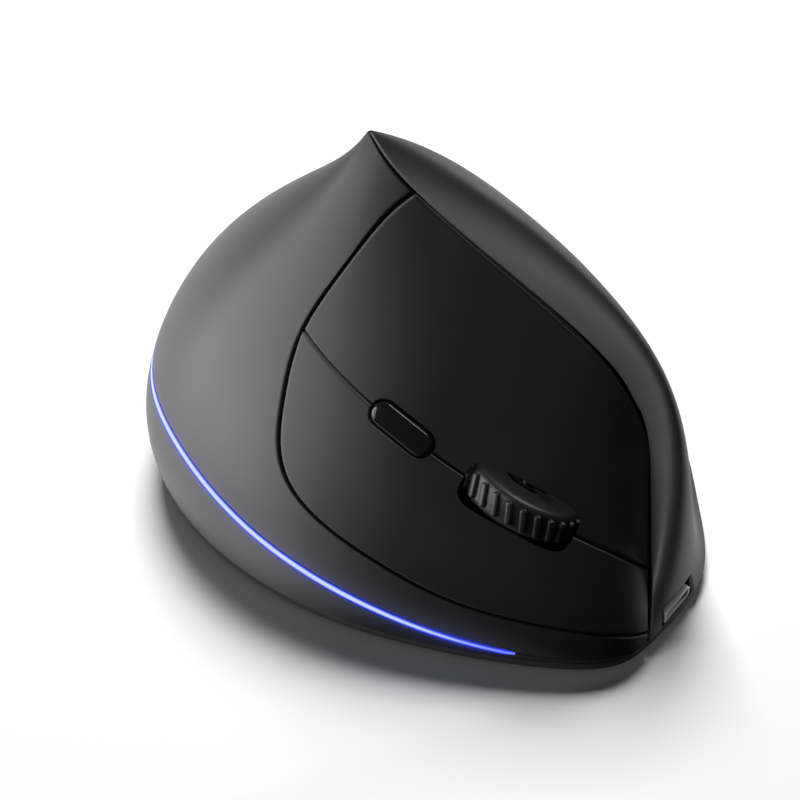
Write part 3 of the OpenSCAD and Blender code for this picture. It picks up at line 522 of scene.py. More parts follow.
@dataclass
class Panel:
    """A moulded wall that follows a skin, with rounded edges and openings.

    Where no grades are given, the net's cells are divided for rounded edges at all its ends.
    """

    name: str
    skin: Skin
    net: Array
    columns: list[Grade] | None = None
    rows: list[Grade] | None = None
    radius: float = 0.35
    lift: float = 0.0
    straight: bool = False
    thin: float = 0.0
    openings: list[Block] = field(default_factory=list)

    def edge_depth(self, outer: Array, cols: Array, rows: Array) -> Array:
        """How far each point is below the skin where the edges are rounded."""
        down, round_ = runs(outer, 1), runs(outer, 0)
        gaps = [round_, round_[-1:] - round_, down, down[:, -1:] - down]
        for i0, i1, j0, j1 in self.openings:
            c0, c1 = np.searchsorted(cols, (i0, i1))
            r0, r1 = np.searchsorted(rows, (j0, j1))
            across = np.maximum(round_[c0] - round_, 0) + np.maximum(round_ - round_[c1], 0)
            above = np.maximum(down[:, r0, None] - down, 0)
            below = np.maximum(down - down[:, r1, None], 0)
            gaps.append(np.hypot(across, above + below))
        d = np.minimum.reduce(np.broadcast_arrays(*gaps))
        r = self.radius
        return r - np.sqrt(np.maximum(r * r - (r - np.minimum(d, r)) ** 2, 0))

    def shut_cells(self, cols: Array, rows: Array) -> Array:
        """Which cells of the finished net are in an opening."""
        shut = np.zeros((len(cols) - 1, len(rows) - 1), bool)
        for i0, i1, j0, j1 in self.openings:
            c = (cols[:-1] >= i0) & (cols[:-1] < i1)
            r = (rows[:-1] >= j0) & (rows[:-1] < j1)
            shut |= c[:, None] & r[None]
        return shut

    def build(self) -> bpy.types.Object:
        """Makes the piece.

        Returns:
            The piece, with its shares kept as the attributes round and down.
        """
        wide, high = self.net.shape[:2]
        cols = net_stops(self.columns or plain_grades(wide - 1))
        rows = net_stops(self.rows or plain_grades(high - 1))
        q = along_net(along_net(self.net, cols).swapaxes(0, 1), rows).swapaxes(0, 1)
        v, u = q[..., 0], q[..., 1]
        out = self.skin.normal(v, u)
        outer = self.skin.point(v, u)
        if self.straight:
            inner = outer - BODY.wall * out
        else:
            inner = self.skin.inside(v, u)
        inner = mix(inner, outer, self.thin)
        edge = self.edge_depth(outer, cols, rows)
        outer = outer + (self.lift - edge)[..., None] * out
        points = np.concatenate([outer.reshape(-1, 3), inner.reshape(-1, 3)])
        obj = add_mesh(self.name, points, self.faces(cols, rows))
        for name, value in (("round", v), ("down", u)):
            keep_values(obj, name, np.tile(value.ravel(), 2))
        with editing(obj):
            bpy.ops.mesh.delete_loose()
            bpy.ops.mesh.normals_make_consistent(inside=False)
        smooth(obj)
        return obj

    def faces(self, cols: Array, rows: Array) -> list[list[int]]:
        """Four-sided faces of the outer face, the inner face and the walls between."""
        m, n = len(cols), len(rows)
        shut = np.pad(self.shut_cells(cols, rows), 1, constant_values=True)
        o = np.arange(m * n).reshape(m, n)
        k = o + m * n
        made: list[list[int]] = []
        for i in range(m - 1):
            for j in range(n - 1):
                if shut[i + 1, j + 1]:
                    continue
                ring = [(i, j), (i, j + 1), (i + 1, j + 1), (i + 1, j)]
                made.append([int(o[p]) for p in ring])
                made.append([int(k[p]) for p in ring[::-1]])
                beside = [shut[i, j + 1], shut[i + 1, j + 2], shut[i + 2, j + 1], shut[i + 1, j]]
                for side, is_open in enumerate(beside):
                    if is_open:
                        a, b = ring[side], ring[(side + 1) % 4]
                        made.append([int(o[b]), int(o[a]), int(k[a]), int(k[b])])
        return made


def fill(node: bpy.types.Node, **values: object) -> None:
    """Sets a node's input values, by socket name with spaces as underscores, or its properties."""
    for name, value in values.items():
        socket = node.inputs.get(name.replace("_", " "))
        if socket is not None:
            socket.default_value = value
        else:
            setattr(node, name, value)


class Nodes:
    """Short ways to add nodes to a material or a node group."""

    def __init__(self, tree: bpy.types.NodeTree) -> None:
        """Keeps the tree that nodes are added to."""
        self.tree = tree

    def add(self, kind: str, **values: object) -> bpy.types.Node:
        """Adds a node.

        Args:
            kind: The node's type without its ShaderNode prefix.
            values: What fill() sets.

        Returns:
            The node.
        """
        node = self.tree.nodes.new("ShaderNode" + kind)
        fill(node, **values)
        return node

    def link(self, start: bpy.types.NodeSocket, end: bpy.types.NodeSocket) -> None:
        """Joins two sockets."""
        self.tree.links.new(start, end)

    def ramp(
        self, value: bpy.types.NodeSocket, stops: list[tuple[float, Colour]]
    ) -> bpy.types.NodeSocket:
        """Colour by a value.

        Args:
            value: The socket that gives the value.
            stops: Places from 0 to 1 and their colours.

        Returns:
            The colour socket.
        """
        node = self.add("ValToRGB")
        points = node.color_ramp.elements
        for _ in stops[2:]:
            points.new(0.5)
        for point, (place, colour) in zip(points, stops):
            point.position = place
            point.color = (*colour, 1)
        self.link(value, node.inputs["Fac"])
        return node.outputs["Color"]


def start_group(name: str, inputs: dict[str, float], outputs: tuple[str, ...]) -> Nodes:
    """Starts a node group of plain values.

    Args:
        name: The group's name.
        inputs: Its inputs with their values.
        outputs: Its outputs.

    Returns:
        Its nodes, so far only those of its inputs and outputs.
    """
    group = bpy.data.node_groups.new(name, "ShaderNodeTree")
    for side, names in (("INPUT", inputs), ("OUTPUT", outputs)):
        group.nodes.new(f"NodeGroup{side.title()}").name = side
        for socket in names:
            group.interface.new_socket(socket, in_out=side, socket_type="NodeSocketFloat")
    for socket in group.interface.items_tree:
        if socket.in_out == "INPUT":
            socket.default_value = inputs[socket.name]
    return Nodes(group)


def start_material(name: str) -> tuple[bpy.types.Material, Nodes, bpy.types.Node]:
    """Starts a material, and gives its nodes and its shader with it."""
    made = bpy.data.materials.new(name)
    made.use_nodes = True
    return made, Nodes(made.node_tree), made.node_tree.nodes["Principled BSDF"]


def grain_group() -> bpy.types.NodeTree:
    """Node group of a moulded grain.

    Returns:
        A group that gives a tone that drifts over the surface and the grain's height.
    """
    name = "moulded_grain"
    if name in bpy.data.node_groups:
        return bpy.data.node_groups[name]
    n = start_group(name, {"Grain": 2600, "Drift": 60}, ("Tone", "Height"))
    inputs, outputs = n.tree.nodes["INPUT"], n.tree.nodes["OUTPUT"]
    place = n.add("TexCoord").outputs["Object"]
    fine = n.add("TexNoise", Detail=3.0, Roughness=0.55)
    slow = n.add("TexNoise", Detail=4.0, Roughness=0.6)
    for node, scale in ((fine, "Grain"), (slow, "Drift")):
        n.link(place, node.inputs["Vector"])
        n.link(inputs.outputs[scale], node.inputs["Scale"])
    n.link(slow.outputs["Fac"], outputs.inputs["Tone"])
    n.link(fine.outputs["Fac"], outputs.inputs["Height"])
    return n.tree


def painted_light_group() -> bpy.types.NodeTree:
    """Node group that tells where light is painted into the soft plastics' colour.

    Returns:
        A group whose share of painted light rises from the finger tips and the peak to the palm.
    """
    name = "hand_rest"
    if name in bpy.data.node_groups:
        return bpy.data.node_groups[name]
    # Painted light and shade: the share is 0 at the front and the top, and 1 towards the rear and
    # low down.
    ends = {"Front": 0.01, "Rear": -0.018, "High": 0.068, "Low": 0.03}
    n = start_group(name, ends, ("Share",))
    inputs, outputs = n.tree.nodes["INPUT"], n.tree.nodes["OUTPUT"]
    place = n.add("SeparateXYZ")
    n.link(n.add("TexCoord").outputs["Object"], place.inputs["Vector"])
    both = n.add("Math", operation="MULTIPLY")
    for i, (axis, none, full) in enumerate((("Y", "Front", "Rear"), ("Z", "High", "Low"))):
        share = n.add("MapRange", interpolation_type="SMOOTHSTEP")
        n.link(place.outputs[axis], share.inputs["Value"])
        n.link(inputs.outputs[none], share.inputs["From Min"])
        n.link(inputs.outputs[full], share.inputs["From Max"])
        n.link(share.outputs["Result"], both.inputs[i])
    n.link(both.outputs["Value"], outputs.inputs["Share"])
    return n.tree


DRIFT_ENDS = (0.3, 0.7)
# Colours of the blue light painted onto the plastic beside the light line.
PAINTED_GLOW_STOPS = [(0.0, (0.0, 0.0, 0.0)), (0.5, (0.0, 0.002, 0.03)), (1.0, (0.003, 0.018, 0.26))]


@dataclass(frozen=True)
class Plastic:
    """A moulded plastic with a fine grain and a slow drift of tone and gloss, and on some, light
    and shade painted into its colour.
    """

    name: str
    dark: Colour
    light: Colour
    rough: tuple[float, float] = (0.5, 0.6)
    shine: float = 0.5
    bump: float = 0.12
    depth: float = 0.00002
    metal: float = 0.0
    clear: float = 0.0
    painted_glow: bool = False
    painted_palm_light: tuple[Colour, Colour] | None = None

    def material(self) -> bpy.types.Material:
        """The finish as a material, made once."""
        if self.name in bpy.data.materials:
            return bpy.data.materials[self.name]
        made, n, shader = start_material(self.name)
        fill(
            shader, Specular_IOR_Level=self.shine, Metallic=self.metal,
            Transmission_Weight=self.clear,
        )
        group = n.add("Group", node_tree=grain_group())
        tone, (low, high) = group.outputs["Tone"], DRIFT_ENDS
        colour = n.ramp(tone, [(low, self.dark), (high, self.light)])
        # Painted light: the base colour blends to paler colours at the rear and low down, and stays
        # near-black at the front and the top as painted shade.
        if self.painted_palm_light:
            share = n.add("Group", node_tree=painted_light_group())
            blend = n.add("Mix", data_type="RGBA")
            n.link(share.outputs["Share"], blend.inputs["Factor"])
            n.link(colour, blend.inputs[6])
            painted_palm_light = n.ramp(tone, [(low, self.painted_palm_light[0]), (high, self.painted_palm_light[1])])
            n.link(painted_palm_light, blend.inputs[7])
            colour = blend.outputs[2]
        n.link(colour, shader.inputs["Base Color"])
        rough = n.add(
            "MapRange", From_Min=low, From_Max=high, To_Min=self.rough[0], To_Max=self.rough[1]
        )
        n.link(tone, rough.inputs["Value"])
        n.link(rough.outputs["Result"], shader.inputs["Roughness"])
        bump = n.add("Bump", Strength=self.bump, Distance=self.depth)
        n.link(group.outputs["Height"], bump.inputs["Height"])
        n.link(bump.outputs["Normal"], shader.inputs["Normal"])
        # Painted light: emission beside the light line stands in for the line's blue light falling
        # on the plastic.
        if self.painted_glow:
            near = n.add("Attribute", attribute_name="painted_glow").outputs["Fac"]
            n.link(n.ramp(near, PAINTED_GLOW_STOPS), shader.inputs["Emission Color"])
            fill(shader, Emission_Strength=1.0)
        return made


@dataclass(frozen=True)
class LightGuide:
    """A frosted light guide, pale along its middle and deep blue at its edges."""

    name: str = "lit_guide"
    rim: Colour = (0.0, 0.01, 0.2)
    edge: Colour = (0.008, 0.03, 0.8)
    near: Colour = (0.1, 0.15, 1.0)
    middle: Colour = (0.5, 0.56, 1.0)
    strength: float = 1.15

    def material(self) -> bpy.types.Material:
        """The finish as a material, made once."""
        if self.name in bpy.data.materials:
            return bpy.data.materials[self.name]
        made, n, shader = start_material(self.name)
        fill(
            shader, Base_Color=(0.02, 0.03, 0.08, 1), Roughness=0.35,
            Emission_Strength=self.strength,
        )
        across = n.add("Attribute", attribute_name="core").outputs["Fac"]
        stops = [(0.0, self.rim), (0.16, self.edge), (0.36, self.near), (0.62, self.middle)]
        n.link(n.ramp(across, stops), shader.inputs["Emission Color"])
        return made


# Painted shade and light on one plastic: near-black at the front and the top, much paler at the
# rear and low down, where the light falls.
FINGER_PAINTED_SHADE = ((0.007, 0.007, 0.0072), (0.009, 0.009, 0.0093))
PALM_PAINTED_LIGHT = ((0.074, 0.074, 0.075), (0.086, 0.086, 0.087))
SOFT_BLACK = Plastic("soft_black", *FINGER_PAINTED_SHADE, (0.46, 0.52), painted_glow=True, painted_palm_light=PALM_PAINTED_LIGHT)
# Painted light: the thumb side is a paler copy of the same soft plastic, so that its crest looks
# lit.
SOFT_SIDE_PAINTED_LIGHT = Plastic(
    "soft_side_painted_light", (0.028, 0.028, 0.0285), (0.033, 0.033, 0.0335), (0.46, 0.52), painted_palm_light=PALM_PAINTED_LIGHT
)
SOFT_BUTTON = Plastic("soft_button", *FINGER_PAINTED_SHADE, (0.42, 0.48), shine=0.42, painted_palm_light=PALM_PAINTED_LIGHT)
GLOSS_BLACK = Plastic(
    "gloss_black", (0.006, 0.006, 0.007), (0.008, 0.008, 0.009), (0.12, 0.18), bump=0.03
)
SATIN_BLACK = Plastic("satin_black", (0.012, 0.012, 0.013), (0.016, 0.016, 0.017), (0.28, 0.36))
RUBBER = Plastic(
    "ribbed_rubber", (0.012, 0.012, 0.012), (0.018, 0.018, 0.018), (0.4, 0.5), bump=0.2
)
HUB_BLACK = Plastic("hub_black", (0.012, 0.012, 0.013), (0.016, 0.016, 0.017), (0.3, 0.4))
FRAME_GREY = Plastic("frame_grey", (0.05, 0.05, 0.054), (0.065, 0.065, 0.07), (0.55, 0.65))
BASE_BLACK = Plastic(
    "base_black", (0.014, 0.014, 0.015), (0.02, 0.02, 0.021), (0.6, 0.7), bump=0.35
)
STEEL = Plastic(
    "bright_steel", (0.55, 0.55, 0.57), (0.68, 0.68, 0.7), (0.22, 0.34), metal=1.0, bump=0.05
)
PORT_TIN = Plastic(
    "port_tin", (0.5, 0.5, 0.51), (0.58, 0.58, 0.59), (0.35, 0.45), metal=0.35, bump=0.05
)
BOARD_GREEN = Plastic("board_green", (0.012, 0.08, 0.03), (0.02, 0.12, 0.045), (0.35, 0.5))
HOUSING = Plastic("switch_housing", (0.02, 0.02, 0.022), (0.03, 0.03, 0.032), (0.4, 0.5))
WHITE_PLASTIC = Plastic("white_plastic", (0.72, 0.72, 0.7), (0.8, 0.8, 0.78), (0.4, 0.5))
LENS_CLEAR = Plastic(
    "lens_clear", (0.85, 0.9, 0.95), (0.9, 0.94, 0.98), (0.04, 0.08), clear=1.0, bump=0.0
)
CELL_FOIL = Plastic(
    "cell_foil", (0.5, 0.52, 0.55), (0.6, 0.62, 0.65), (0.3, 0.42), metal=1.0, bump=0.2
)
SKATE_WHITE = Plastic("skate_white", (0.66, 0.66, 0.64), (0.76, 0.76, 0.74), (0.45, 0.6))
LIT = LightGuide()

NODE_FINISH: dict[Plastic, tuple[str, ...]] = {
    HUB_BLACK: ("wheel_hub",),
    STEEL: ("wheel_axle", "pivot_rod", "screws"),
    FRAME_GREY: (
        "wheel_fork", "left_lever", "right_lever", "pivot_bracket", "side_bracket", "chassis",
    ),
    HOUSING: (
        "encoder", "click_switch", "left_switch", "right_switch", "dpi_switch", "side_switches",
        "sensor_chip", "port_tongue", "power_switch",
    ),
    BOARD_GREEN: ("switch_board", "main_board", "charge_board"),
    WHITE_PLASTIC: ("left_plunger", "right_plunger", "leds", "power_slider"),
    LENS_CLEAR: ("sensor_lens",),
    CELL_FOIL: ("battery_cell",),
    SKATE_WHITE: ("skates",),
}


def dress(obj: bpy.types.Object, finish: Plastic | LightGuide) -> None:
    """Gives a piece one finish."""
    obj.data.materials.clear()
    obj.data.materials.append(finish.material())


PIECES: dict[str, bpy.types.Object] = {}


def settle(
    obj: bpy.types.Object, node: str, body: str, finish: Plastic | LightGuide
) -> bpy.types.Object:
    """Dresses a piece and lets it stand for a solid and ride on its body.

    Args:
        obj: The piece.
        node: The solid that it stands for.
        body: The body that it rides on.
        finish: What it is dressed in.

    Returns:
        The piece.
    """
    dress(obj, finish)
    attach(obj, body)
    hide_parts(node)
    PIECES[node] = obj
    log.info("%s rides on %s, %d faces", obj.name, body, len(obj.data.polygons))
    return obj


@dataclass
class LightLine:
    """The light line: where it runs on the right skin, and the gap left for it."""

    stops: int = 60
    fade_front: tuple[float, float] = (0.02, 0.16)
    fade_rear: tuple[float, float] = (0.03, 0.12)
    faded: float = 0.45
    # Painted light: where, and how far, the line's blue light is painted onto the shells.
    painted_glow_front: tuple[float, float] = (0.015, 0.03)
    painted_glow_rear: tuple[float, float] = (0.03, 0.1)
    painted_glow_reach: float = 1.3

    def run(self) -> Array:
        """Shares round the body from the line's front end to its rear end."""
        lit = np.linspace(BODY.light_front, BODY.light_rear, self.stops)
        ends = (BODY.light_front - BODY.light_taper[0], BODY.light_rear + BODY.light_taper[1])
        return np.concatenate([[ends[0]], lit, [ends[1]]])

    def all_stops(self) -> Array:
        """Shares round the whole body, with those of the line among them."""
        run = self.run()
        ahead, behind = np.linspace(0, run[0], 15)[:-1], np.linspace(run[-1], 1, 7)[1:]
        return np.concatenate([ahead, run, behind])

    def middle(self, v: Array) -> Array:
        """Share down the skin of the line's middle."""
        return spline(LIGHT_DOWN, v)[..., 0]

    def lit(self, v: Array, front: tuple[float, float], rear: tuple[float, float]) -> Array:
        """How much is lit, which rises at both ends of the line.

        Args:
            v: Shares round the body.
            front: Shares outside and inside the front end over which it rises.
            rear: The same at the rear end.

        Returns:
            A value from 0 to 1 for each share.
        """
        ahead = ease(BODY.light_front - front[0], BODY.light_front + front[1], v)
        back = 1 - BODY.light_rear
        return ahead * ease(back - rear[0], back + rear[1], 1 - v)

    def half(self, v: Array) -> Array:
        """Half the opening that the shells leave, in millimetres."""
        front, rear = BODY.light_taper
        lit = self.lit(v, (front, 0), (rear, 0))
        return mix(BODY.seam / 2, BODY.light_w / 2 + BODY.light_gap, lit)

    def edge(self, v: Array, side: float) -> Array:
        """Shares of one edge of the opening."""
        u = self.middle(v)
        return np.stack([v, u + side * RIGHT.down_share(v, u, self.half(v))], -1)

    def build(self) -> bpy.types.Object:
        """Makes the light guide."""
        v = self.run()
        u = self.middle(v)
        h = RIGHT.down_share(v, u, self.half(v) - BODY.light_gap)
        across = np.linspace(-1, 1, 5)
        net = net_of(v, u[:, None] + across * h[:, None])
        grades = [Grade.PLAIN] * (len(v) - 1)
        panel = Panel("light_strip", RIGHT, net, grades, [Grade.PLAIN] * 4, radius=0.02)
        obj = panel.build()
        place, turn = kept_values(obj, "down"), kept_values(obj, "round")
        wide = RIGHT.down_share(turn, self.middle(turn), np.full(len(turn), BODY.light_w / 2))
        core = 1 - np.abs(place - self.middle(turn)) / wide
        lit = self.lit(turn, self.fade_front, self.fade_rear)
        keep_values(obj, "core", core * mix(self.faded, 1.0, lit))
        obj.visible_diffuse = False
        return settle(obj, "light_strip", "body", LIT)


LINE = LightLine()


def add_painted_blue_light(obj: bpy.types.Object) -> None:
    """Keeps how near each point is to the light line as an attribute, for blue light painted onto
    the shell beside the line.
    """
    turn, down = kept_values(obj, "round"), kept_values(obj, "down")
    v = np.clip(turn, BODY.light_front, BODY.light_rear)
    wide = RIGHT.down_share(v, LINE.middle(v), np.ones(len(v)))
    away = np.abs(down - LINE.middle(turn)) / wide - BODY.light_w / 2
    lit = LINE.lit(turn, LINE.painted_glow_front, LINE.painted_glow_rear)
    keep_values(obj, "painted_glow", lit * np.exp(-np.maximum(away, 0) / LINE.painted_glow_reach))


class SlotForm(Enum):
    """Form of an opening's outline."""

    SOFT_BOX = "box with soft corners"
    ROUND_ENDS = "straight sides and round ends"


FIT_REACH = 16
FIT_POWERS = 6


@dataclass(frozen=True)
class SplitFrame:
    """A frame on the buttons' split: ahead along it, up the face and out of it."""

    origin: Array
    ahead: Array
    out: Array

    def matrix(self) -> Matrix:
        """Placing matrix of the frame, in metres."""
        return frame_at(self.origin, self.ahead, self.out)

    def local(self, points: Array) -> Array:
        """Points in millimetres seen from the frame."""
        axes = np.column_stack([self.ahead, np.cross(self.out, self.ahead), self.out])
        return (points - self.origin) @ axes

    def heights(self, flat: Array) -> Array:
        """Heights of the skin over places in the frame, from a surface fitted to it."""
        v, u = np.meshgrid(np.linspace(0.02, 0.5, 60), np.linspace(0.2, 0.8, 60))
        p = self.local(RIGHT.point(v, u).reshape(-1, 3))
        p = p[np.hypot(p[:, 0], p[:, 1]) < FIT_REACH]
        pairs = [(i, j) for i in range(FIT_POWERS) for j in range(FIT_POWERS - i)]

        def powers(q: Array) -> Array:
            return np.column_stack([q[:, 0] ** i * q[:, 1] ** j for i, j in pairs])

        fit = np.linalg.lstsq(powers(p), p[:, 2], rcond=None)[0]
        return powers(flat) @ fit


@dataclass(frozen=True)
class Opening:
    """An opening on the split, with a rounded lip."""

    name: str
    length: float
    width: float
    form: SlotForm
    widens: tuple[float, float] = (0.0, 0.0)
    lip: tuple[tuple[float, float], ...] = (
        (0.4, 0.15), (0.14, -0.04), (0.06, -0.12), (0.01, -0.26), (0.0, -0.45), (0.0, -4.0),
    )

    def outline(self, aside: float, level: Array, n: int = 96) -> Array:
        """Places on the opening's edge.

        Args:
            aside: How far outside the edge they are.
            level: Height of each over the frame, as the opening widens below it.
            n: How many there are.

        Returns:
            One place a row.
        """
        a = 2 * np.pi * (np.arange(n) + 0.5) / n
        x, y = np.cos(a), np.sin(a)
        long = self.length / 2 + aside - level * self.widens[0]
        wide = self.width / 2 + aside - level * self.widens[1]
        if self.form is SlotForm.ROUND_ENDS:
            return np.column_stack([np.sign(x) * (long - wide) + x * wide, y * wide])
        x, y = (np.sign(c) * np.sqrt(np.abs(c)) for c in (x, y))
        return np.column_stack([x * long, y * wide])

    def cutter(self, place: SplitFrame) -> bpy.types.Object:
        """Solid that cuts the opening and its lip.

        Args:
            place: The frame that the opening is in.

        Returns:
            The solid, which lies where it cuts.
        """
        rings = []
        for aside, above in self.lip:
            level = place.heights(self.outline(aside, 0.0)) + above
            rings.append(np.column_stack([self.outline(aside, level), level]))
        n = len(rings[0])
        faces = [list(range(n)), list(range(len(rings) * n - 1, (len(rings) - 1) * n - 1, -1))]
        for k in range(len(rings) - 1):
            for i in range(n):
                j = (i + 1) % n
                faces.append([k * n + i, (k + 1) * n + i, (k + 1) * n + j, k * n + j])
        obj = add_mesh(self.name, np.vstack(rings), faces)
        obj.data.transform(place.matrix())
        with editing(obj):
            bpy.ops.mesh.normals_make_consistent(inside=False)
        return obj


@dataclass
class ButtonFace:
    """The face of the two main buttons, with the wheel and the button on their split."""

    wheel_at: float = 26.5
    wheel_slot: Opening = Opening("wheel_slot", 18.3, 7.5, SlotForm.SOFT_BOX, (1.2, 0.9))
    dpi_at: float = 48.0
    dpi: tuple[float, float] = (11.0, 4.0)
    dpi_slot: Opening = Opening("dpi_slot", 11.7, 4.6, SlotForm.ROUND_ENDS)
    dpi_out: float = 0.8
    edge: float = 0.45
    rear_groove: float = 0.15
    thin_share: float = 0.1
    stops: int = 60
    left_rows: int = 15
    right_rows: int = 12

    def __post_init__(self) -> None:
        """Measures the split and sets the frames at the wheel and the small button."""
        shares = np.linspace(0, 1, 49)
        q = spline(SPLIT, shares)
        self.table = RunTable(RIGHT.point(q[:, 0], q[:, 1]), shares)
        self.at_wheel = self.frame(self.wheel_at)
        self.at_dpi = self.frame(self.dpi_at)

    def split_at(self, s: Array) -> Array:
        """Shares at distances along the split."""
        return spline(SPLIT, self.table.share(s))

    def frame(self, s: float) -> SplitFrame:
        """Frame at a distance along the split."""
        q = self.split_at(np.array([s - 4, s, s + 4]))
        p = RIGHT.point(q[:, 0], q[:, 1])
        out = RIGHT.normal(*q[1])
        return SplitFrame(p[1], square_to(p[0] - p[2], out), out)

    def split_edge(self, side: float) -> Array:
        """Shares of one button's edge along the split."""
        q = self.split_at(np.linspace(0, self.table.run[-1], self.stops))
        half = np.full(len(q), BODY.seam / 2)
        q[:, 1] += side * RIGHT.down_share(q[:, 0], q[:, 1], half)
        return q

    def open_slots(self, button: bpy.types.Object) -> None:
        """Cuts both openings into a main button."""
        for slot, place in ((self.wheel_slot, self.at_wheel), (self.dpi_slot, self.at_dpi)):
            cut = slot.cutter(place)
            apply_modifier(button, "BOOLEAN", operation="DIFFERENCE", object=cut, solver="EXACT")
            bpy.data.objects.remove(cut)
        smooth(button)
        apply_modifier(button, "WEIGHTED_NORMAL", keep_sharp=True)

    def build_left(self) -> bpy.types.Object:
        """Makes the upper main button."""
        bottom = self.split_edge(-1)
        top = np.zeros_like(bottom)
        top[:, 0] = np.linspace(0, PALM_SEAM[-1, 0], len(bottom))
        front = mix(top[0], bottom[0], np.linspace(0, 1, self.left_rows)[:, None])
        rear = spline(PALM_SEAM, np.linspace(1, BODY.palm_corner, self.left_rows))
        net = coons(top, bottom, front, rear)
        ridge = mix(BODY.groove / 2, self.rear_groove, ease(0.1, 0.4, top[:, 0]))
        net = tighten(RIGHT, net, BODY.groove / 2, BODY.seam / 2, ridge, 0)
        obj = Panel("left_button", RIGHT, net, radius=self.edge).build()
        self.open_slots(obj)
        return settle(obj, "left_button", "left_press", SOFT_BUTTON)

    def build_right(self) -> bpy.types.Object:
        """Makes the lower main button."""
        top = self.split_edge(1)
        bottom = spline(PALM_SEAM, np.linspace(0, BODY.palm_corner, len(top)))
        share = np.linspace(0, 1, self.right_rows)[:, None]
        net = coons(top, bottom, mix(top[0], bottom[0], share), mix(top[-1], bottom[-1], share))
        net = tighten(RIGHT, net, BODY.groove / 2, BODY.seam, 0, BODY.seam / 2)
        obj = Panel("right_button", RIGHT, net, radius=self.edge, thin=self.thin_share).build()
        self.open_slots(obj)
        return settle(obj, "right_button", "right_press", SOFT_BUTTON)

    def build_dpi(self) -> bpy.types.Object:
        """Makes the glossy button on the split, with its stem."""
        length, width = self.dpi
        low = -BODY.wall - 0.4
        height = self.dpi_out - low
        deselect()
        bpy.ops.mesh.primitive_cylinder_add(
            vertices=64, radius=width / 2 * MM, depth=height * MM,
            location=(0, 0, (low + height / 2) * MM),
        )
        cap = bpy.context.object
        shift = (length - width) / 2 * MM
        for vertex in cap.data.vertices:
            vertex.co.x += math.copysign(shift, vertex.co.x)
        apply_modifier(
            cap, "BEVEL", width=0.75 * MM, segments=6, limit_method="ANGLE",
            angle_limit=math.radians(60), use_clamp_overlap=True,
        )
        seat(cap, self.at_dpi.matrix())
        smooth(cap, 40)
        cap.name = "dpi_button"
        return settle(cap, "dpi_button", "sensitivity", GLOSS_BLACK)


